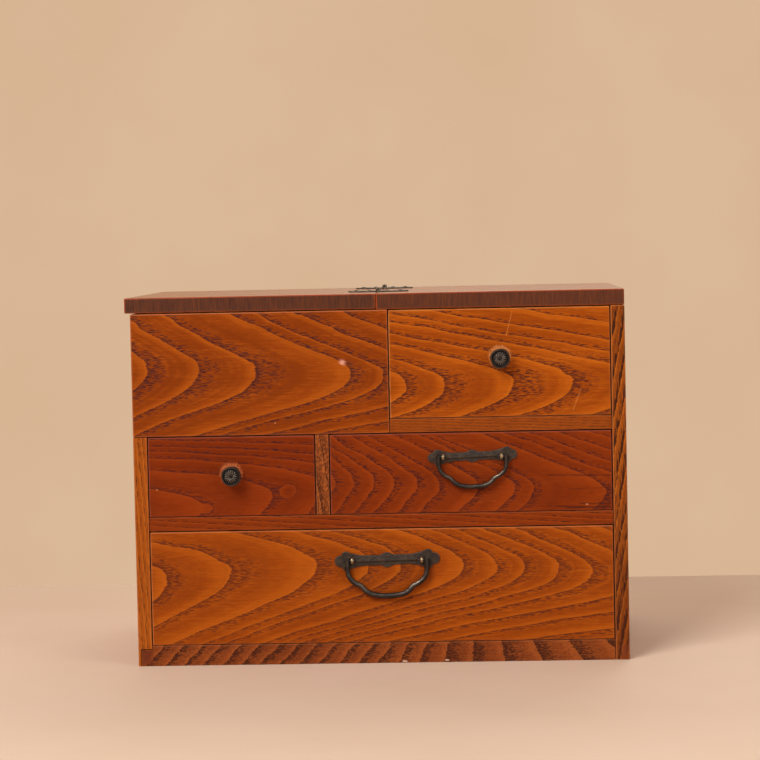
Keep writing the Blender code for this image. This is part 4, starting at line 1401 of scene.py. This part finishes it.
MIDDLE_LEFT_RINGS = replace(
    FRONT_FACE, axis=0.110, middle=-0.095, lean=0.15, reach=(2.5, 1.0),
    power=(1.5, 1.0), blunt=(0.004, 0.004), band=0.010,
    tips=(-0.170, -0.119, -0.072, -0.036, -0.014, 0.006, 0.030, 0.058, 0.100),
    knots=(Knot(-0.061, 0.117, 4.5 * MM, -0.040), Knot(-0.116, 0.106, 3.0 * MM, -0.014)),
)
RIGHT_RINGS = RingField(
    axis=FRONT_Y, reach=(3.0, 3.0), blunt=(0.01, 0.01), face=0.165, slope=-5.0, band=0.017,
    tips=widening(-0.037, 0.024, 10, 0.0022, 16),
)
FOOT_RINGS = RingField(
    middle=-0.02, reach=(0.0, 0.0), face=0.0056, slope=-0.95, slope_gain=11.0, band=0.0120,
    tips=widening(-0.190, 0.013, 17, 0.0025, 6),
)
BACK_RINGS = RingField(
    axis=0.11, lean=0.06, reach=(4.0, 5.0), blunt=(0.03, 0.045), face=0.105, slope=2.0, band=0.012,
    tips=(-0.230, -0.170, -0.125, -0.094, -0.041, -0.012, 0.038, 0.061, 0.113, 0.142, 0.190, 0.226,
          0.258, 0.310, 0.345, 0.398, 0.432, 0.487, 0.520, 0.570, 0.610, 0.665, 0.700),
)
WIDE_RINGS = RingField(blunt=(0.03, 0.03), slope=-5.0, face=0.248)

FRONTS = {
    "panel": WoodFinish(
        "front_panel_lacquer", Grain.FRONT, PANEL_RINGS, ORANGE, seed=1.0,
        fans=(Knot(-0.070, 0.199, 12 * MM, 0.35),),
        scratches=(
            Scratch((-0.0243, 0.2031), (-0.0222, 0.2021), 2.2 * MM, 1.0, (236, 168, 140)),
            Scratch((-0.0694, 0.1627), (-0.0690, 0.1627), 0.7 * MM, 0.9),
        ),
    ),
    "top_right": WoodFinish(
        "top_right_front_lacquer", Grain.FRONT, TOP_RIGHT_RINGS, BRIGHT, seed=2.0, halo=(0.0818, 0.2036),
        fans=(Knot(0.102, 0.184, 12 * MM, 0.40),),
        scratches=(
            Scratch((0.0905, 0.2349), (0.0862, 0.2180), 0.4 * MM, 0.4, RUB_MARK),
            Scratch((0.1354, 0.1824), (0.1298, 0.1678), 0.6 * MM, 0.35, RUB_MARK),
        ),
    ),
    "middle_left": WoodFinish(
        "middle_left_front_lacquer", Grain.FRONT, MIDDLE_LEFT_RINGS, RED, seed=3.0, halo=(-0.0996, 0.12845),
        rubbed=(186, 104, 62),
        scratches=(Scratch((-0.1498, 0.1191), (-0.1494, 0.1191), 0.7 * MM, 0.9),),
    ),
    "middle_right": WoodFinish(
        "middle_right_front_lacquer", Grain.FRONT, MIDDLE_RIGHT_RINGS, DEEP_RED, seed=4.0,
        scratches=(
            Scratch((0.1375, 0.1049), (0.1387, 0.1048), 0.6 * MM, 0.9),
            Scratch((0.1120, 0.1040), (0.1370, 0.1032), 1.0 * MM, 0.6, STAIN),
            Scratch((0.1240, 0.1026), (0.1540, 0.1030), 1.1 * MM, 0.6, STAIN),
            Scratch((0.1330, 0.1055), (0.1543, 0.1050), 0.8 * MM, 0.5, STAIN),
            Scratch((0.1120, 0.1248), (0.1543, 0.1238), 0.9 * MM, 0.6, DARK_STAIN),
            Scratch((0.1260, 0.1150), (0.1543, 0.1158), 0.6 * MM, 0.4, DARK_STAIN),
        ),
    ),
    "bottom": WoodFinish(
        "bottom_front_lacquer", Grain.FRONT, BOTTOM_RINGS, WARM, seed=5.0,
        fans=(Knot(-0.090, 0.066, 10 * MM, 0.30),),
    ),
}


@dataclass
class Carcass:
    """The boards that stand still, and the lid."""

    side_arris: float = 0.6 * MM
    rail_arris: float = 0.35 * MM
    broad_arris: float = 0.4 * MM
    panel_arris: float = 0.5 * MM
    top_arris: float = 0.8 * MM
    rail_wear_and_sheen: float = 0.15

    def sides(self) -> list[Board]:
        """The two outer sides."""
        left = WoodFinish(
            "left_side_lacquer", Grain.SIDE,
            replace(
                WIDE_RINGS, axis=0.012, reach=(5.0, 6.0), face=-0.165, slope=14.0, spacing=0.046, band=0.012
            ),
            EDGE, seed=6.0, pore_length=8.0 * MM, pore_width=0.75 * MM, pore_size=0.46, stray_pores=0.30,
        )
        right = WoodFinish(
            "right_side_lacquer", Grain.SIDE, RIGHT_RINGS, STRIPED, seed=7.0, wander=2.4 * MM,
            pore_length=9.0 * MM, pore_width=0.8 * MM, pore_size=0.67, stray_pores=0.30, band_depth=0.45,
            face_pores=0.5,
            scratches=(
                Scratch((0.1615, 0.0), (0.1615, 0.11), 16.0 * MM, 0.32, (84, 37, 18)),
                Scratch((0.1590, 0.0054), (0.1655, 0.0054), 5.4 * MM, 0.6, (118, 54, 32), 0.3),
            ),
        )
        return [Board("left_side", left, self.side_arris), Board("right_side", right, self.side_arris)]

    def shelves(self) -> list[Board]:
        """The two shelves, the foot and the middle partition."""
        rail = WoodFinish(
            "lower_shelf_lacquer", Grain.SHELF,
            RingField(axis=0.03, reach=(3.0, 3.0), face=0.0911, slope=14.0, spacing=0.050, band=0.014),
            DARK_RAIL, seed=8.0, arris_wear_and_sheen=self.rail_wear_and_sheen,
        )
        upper_rings = replace(rail.rings, axis=-0.02, face=0.1548, slope=22.0, spacing=0.042)
        foot = replace(
            rail, name="bottom_board_lacquer", rings=FOOT_RINGS, tones=FOOT, seed=10.0,
            pore_length=2.4 * MM, pore_width=0.66 * MM, pore_size=0.64, stray_pores=0.36, band_depth=0.6,
            scratches=(
                Scratch((-0.1627, 0.0056), (-0.1558, 0.0056), 5.6 * MM, 0.7, (98, 42, 26), 0.3),
                Scratch((0.0130, 0.0011), (0.0160, 0.0010), 0.7 * MM, 0.9, CHIP),
                Scratch((0.0415, 0.0014), (0.0440, 0.0013), 0.7 * MM, 0.9, CHIP),
            ),
        )
        middle = WoodFinish(
            "middle_partition_lacquer", Grain.SIDE, RingField(face=-0.0426, slope=6.0, spacing=0.040),
            FLECKED, seed=11.0, arris_wear_and_sheen=0.2,
            pore_length=2.2 * MM, pore_width=0.8 * MM, pore_size=0.62, stray_pores=0.58,
        )
        upper = replace(rail, name="upper_shelf_lacquer", rings=upper_rings, tones=RAIL, seed=9.0)
        return [
            Board("lower_shelf", rail, self.rail_arris),
            Board("upper_shelf", upper, self.rail_arris),
            Board("bottom_board", foot, self.broad_arris),
            Board("middle_partition", middle, self.rail_arris),
        ]

    def tops(self) -> list[Board]:
        """The front panel, the fixed top and the lid."""
        top = WoodFinish(
            "fixed_top_lacquer", Grain.TOP, replace(WIDE_RINGS, axis=0.085, reach=(6.0, 5.0), spacing=0.05),
            TOP, seed=12.0, roughness=0.33, coat=0.42, arris_wear_and_sheen=1.0,
        )
        lid = replace(
            top, name="lid_lacquer", seed=13.0, tones=replace(TOP, end=(65, 34, 25)),
            rings=replace(WIDE_RINGS, axis=-0.10, reach=(5.0, 6.0), spacing=0.048),
        )
        return [
            Board("front_panel", FRONTS["panel"], self.panel_arris, "front_wood"),
            Board("fixed_top", top, self.top_arris, "top_wood"),
            Board("lid", lid, self.top_arris, "top_wood", "lid"),
        ]

    def inner(self) -> list[Board]:
        """The back board and the upper partition."""
        back = WoodFinish(
            "back_board_bare", Grain.FRONT, BACK_RINGS, PALE, seed=14.0, roughness=0.62, specular=0.2,
        )
        upright = replace(back, name="upper_partition_bare", grain=Grain.DRAWER_SIDE, seed=15.0)
        return [
            Board("back_board", back, self.broad_arris, "inner_wood"),
            Board("upper_partition", upright, self.rail_arris, "inner_wood"),
        ]

    def build(self) -> list[Piece]:
        """Make and dress every board."""
        return [board.build() for board in self.sides() + self.shelves() + self.tops() + self.inner()]


@dataclass
class Drawer:
    """A drawer: a lacquered front and four bare boards behind it."""

    name: str
    slot: str
    finish: WoodFinish
    bare: dict[Grain, Material]
    arris: float = 1.2 * MM
    bare_arris: float = 0.35 * MM

    def build(self) -> list[Piece]:
        """Make and dress the five boards."""
        body = f"{self.name}_drawer"
        boards = [Board(f"{body}_front", self.finish, self.arris, self.slot, body)]
        for part, grain in (
            ("left_side", Grain.DRAWER_SIDE),
            ("right_side", Grain.DRAWER_SIDE),
            ("back", Grain.FRONT),
            ("bottom", Grain.SHELF),
        ):
            boards.append(Board(f"{body}_{part}", self.bare[grain], self.bare_arris, "inner_wood", body, 2))
        return [board.build() for board in boards]


@dataclass(frozen=True)
class Lamp:
    """A square soft lamp that faces the chest: its place, its width and its power."""

    name: str
    place: Point
    size: float
    power: float
    aim: Point = (0.0, 0.0, 0.12)

    def build(self) -> None:
        """Make the lamp."""
        data = bpy.data.lights.new(self.name, "AREA")
        data.size = self.size
        data.energy = self.power
        made = bpy.data.objects.new(self.name, data)
        made.location = self.place
        made.rotation_euler = (Vector(self.aim) - Vector(self.place)).to_track_quat("-Z", "Y").to_euler()
        bpy.context.scene.collection.objects.link(made)


@dataclass
class Studio:
    """The table, the backdrop, the lamps and the camera."""

    table_tone: Rgb = (240, 214, 192)
    back_tone: Rgb = (212, 176, 140)
    ambient: float = 0.30
    table_back: float = 0.31
    table_reach: float = 4.0
    table_thick: float = 0.04
    table_gap: float = 0.05 * MM
    backdrop_y: float = 2.8
    backdrop_reach: float = 6.0
    backdrop_low: float = -2.0
    backdrop_high: float = 5.0
    camera_place: Point = (0.0733, -1.80978, 0.28418)
    yaw: float = math.radians(2.4056)
    pitch: float = math.radians(-3.1516)
    roll: float = math.radians(-1.2043)
    lens: float = 121.33
    sensor: float = 36.0
    lamps: tuple[Lamp, ...] = (
        Lamp("key", (-0.95, -1.85, 1.55), 1.1, 47.0),
        Lamp("fill", (1.5, -1.6, 0.9), 1.4, 15.0),
        Lamp("rear", (0.3, 1.6, 1.5), 1.2, 10.0),
    )

    def build(self) -> None:
        """Set up everything round the chest."""
        self.table()
        self.backdrop()
        for lamp in self.lamps:
            lamp.build()
        self.world()
        self.camera()
        bpy.context.scene.view_settings.view_transform = "Standard"

    def table(self) -> None:
        """A wide plain table that ends behind the chest."""
        shape = bmesh.new()
        bmesh.ops.create_cube(shape, size=1.0)
        size = (2 * self.table_reach, self.table_reach + self.table_back, self.table_thick, 1.0)
        middle = (0, (self.table_back - self.table_reach) / 2, -self.table_thick / 2 - self.table_gap)
        shape.transform(Matrix.Translation(middle) @ Matrix.Diagonal(size))
        paint = Paint("table_plaster", self.table_tone)
        cloud = paint.clouds(9.0)
        paint.tint(cloud * 0.35, self.back_tone)
        link("table", mesh_of(shape, "table"), paint.finish({"Roughness": 0.75}, cloud, 1.0 * MM))

    def backdrop(self) -> None:
        """A pale upright sheet, well behind the chest, that its top reflects."""
        shape = bmesh.new()
        reach, low, high = self.backdrop_reach, self.backdrop_low, self.backdrop_high
        corners = [(-reach, low), (reach, low), (reach, high), (-reach, high)]
        shape.faces.new([shape.verts.new((x, self.backdrop_y, z)) for x, z in corners])
        paint = Paint("backdrop_plaster", self.back_tone)
        paint.tint(paint.clouds(3.0) * 0.3, self.table_tone)
        glow = {"Emission Color": paint.colour, "Emission Strength": 1.0, "Specular IOR Level": 0.0}
        paint.colour = linear((0, 0, 0))
        link("backdrop", mesh_of(shape, "backdrop"), paint.finish({"Roughness": 0.9, **glow}))

    def world(self) -> None:
        """A pale background that the camera sees, and that lights the chest less."""
        world = bpy.data.worlds.new("studio")
        world.use_nodes = True
        bpy.context.scene.world = world
        graph = Graph(world.node_tree)
        seen = graph.value("ShaderNodeLightPath", output="Is Camera Ray")
        strength = seen * (1 - self.ambient) + self.ambient
        graph.feed(graph.tree.nodes["Background"], {"Color": linear(self.back_tone), "Strength": strength})

    def camera(self) -> None:
        """The camera, where the photograph was taken from."""
        turns = ((self.yaw, "Z"), (self.pitch + math.pi / 2, "X"), (self.roll, "Z"))
        aim, tilt, roll = (Matrix.Rotation(angle, 4, axis) for angle, axis in turns)
        data = bpy.data.cameras.new("camera")
        data.lens = self.lens
        data.sensor_width = self.sensor
        made = bpy.data.objects.new("camera", data)
        made.matrix_world = Matrix.Translation(self.camera_place) @ aim @ tilt @ roll
        bpy.context.scene.collection.objects.link(made)
        bpy.context.scene.camera = made


def write_sizes() -> None:
    """Bring the view layer up to date."""
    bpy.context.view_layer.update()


def bare_wood(grain: Grain, seed: float) -> Material:
    """The bare wood of the drawers' boards whose grain runs one way."""
    rings = RingField(axis=0.02, reach=(4.0, 4.0), slope=3.0, spacing=0.036)
    name = f"drawer_{grain.name.lower()}_bare"
    return WoodFinish(name, grain, rings, PALE, roughness=0.64, specular=0.2, seed=seed).material()


def main() -> None:
    """Build and dress every sub-assembly in order."""
    logging.basicConfig(level=logging.INFO, format="%(message)s")
    plate_iron = IronFinish("plate_iron_forged", (50, 41, 35), (70, 57, 46), (118, 104, 92)).material()
    bail_iron = IronFinish("bail_iron_forged", (30, 27, 26), (52, 44, 38), (146, 130, 114), 0.36).material()
    knob_finish = IronFinish("knob_iron_turned", (28, 22, 18), (40, 31, 25), (176, 160, 146), 0.40, 0.5 * MM)
    knob_iron = knob_finish.material()
    hinge_iron = IronFinish("hinge_iron_forged", (82, 76, 64), (104, 88, 66), (150, 138, 116)).material()
    brass = BrassFinish().material()
    grains = (Grain.DRAWER_SIDE, Grain.FRONT, Grain.SHELF)
    bare = {grain: bare_wood(grain, 20.0 + number) for number, grain in enumerate(grains)}
    Carcass().build()
    for name, slot in (
        ("top_right", "front_wood"),
        ("middle_left", "red_front_wood"),
        ("middle_right", "red_front_wood"),
        ("bottom", "front_wood"),
    ):
        Drawer(name, slot, FRONTS[name], bare).build()
    for name in ("top_right", "middle_left"):
        Knob(name, knob_iron).build()
    for name, scale, degrees in (("middle_right", 0.847, 1.8), ("bottom", 1.0, 1.1)):
        Pull(name, scale, math.radians(degrees), plate_iron, bail_iron, brass).build()
    for name in ("front_hinge", "rear_hinge"):
        Hinge(name, hinge_iron).build()
    Studio().build()
    write_sizes()


if __name__ == "__main__":
    main()
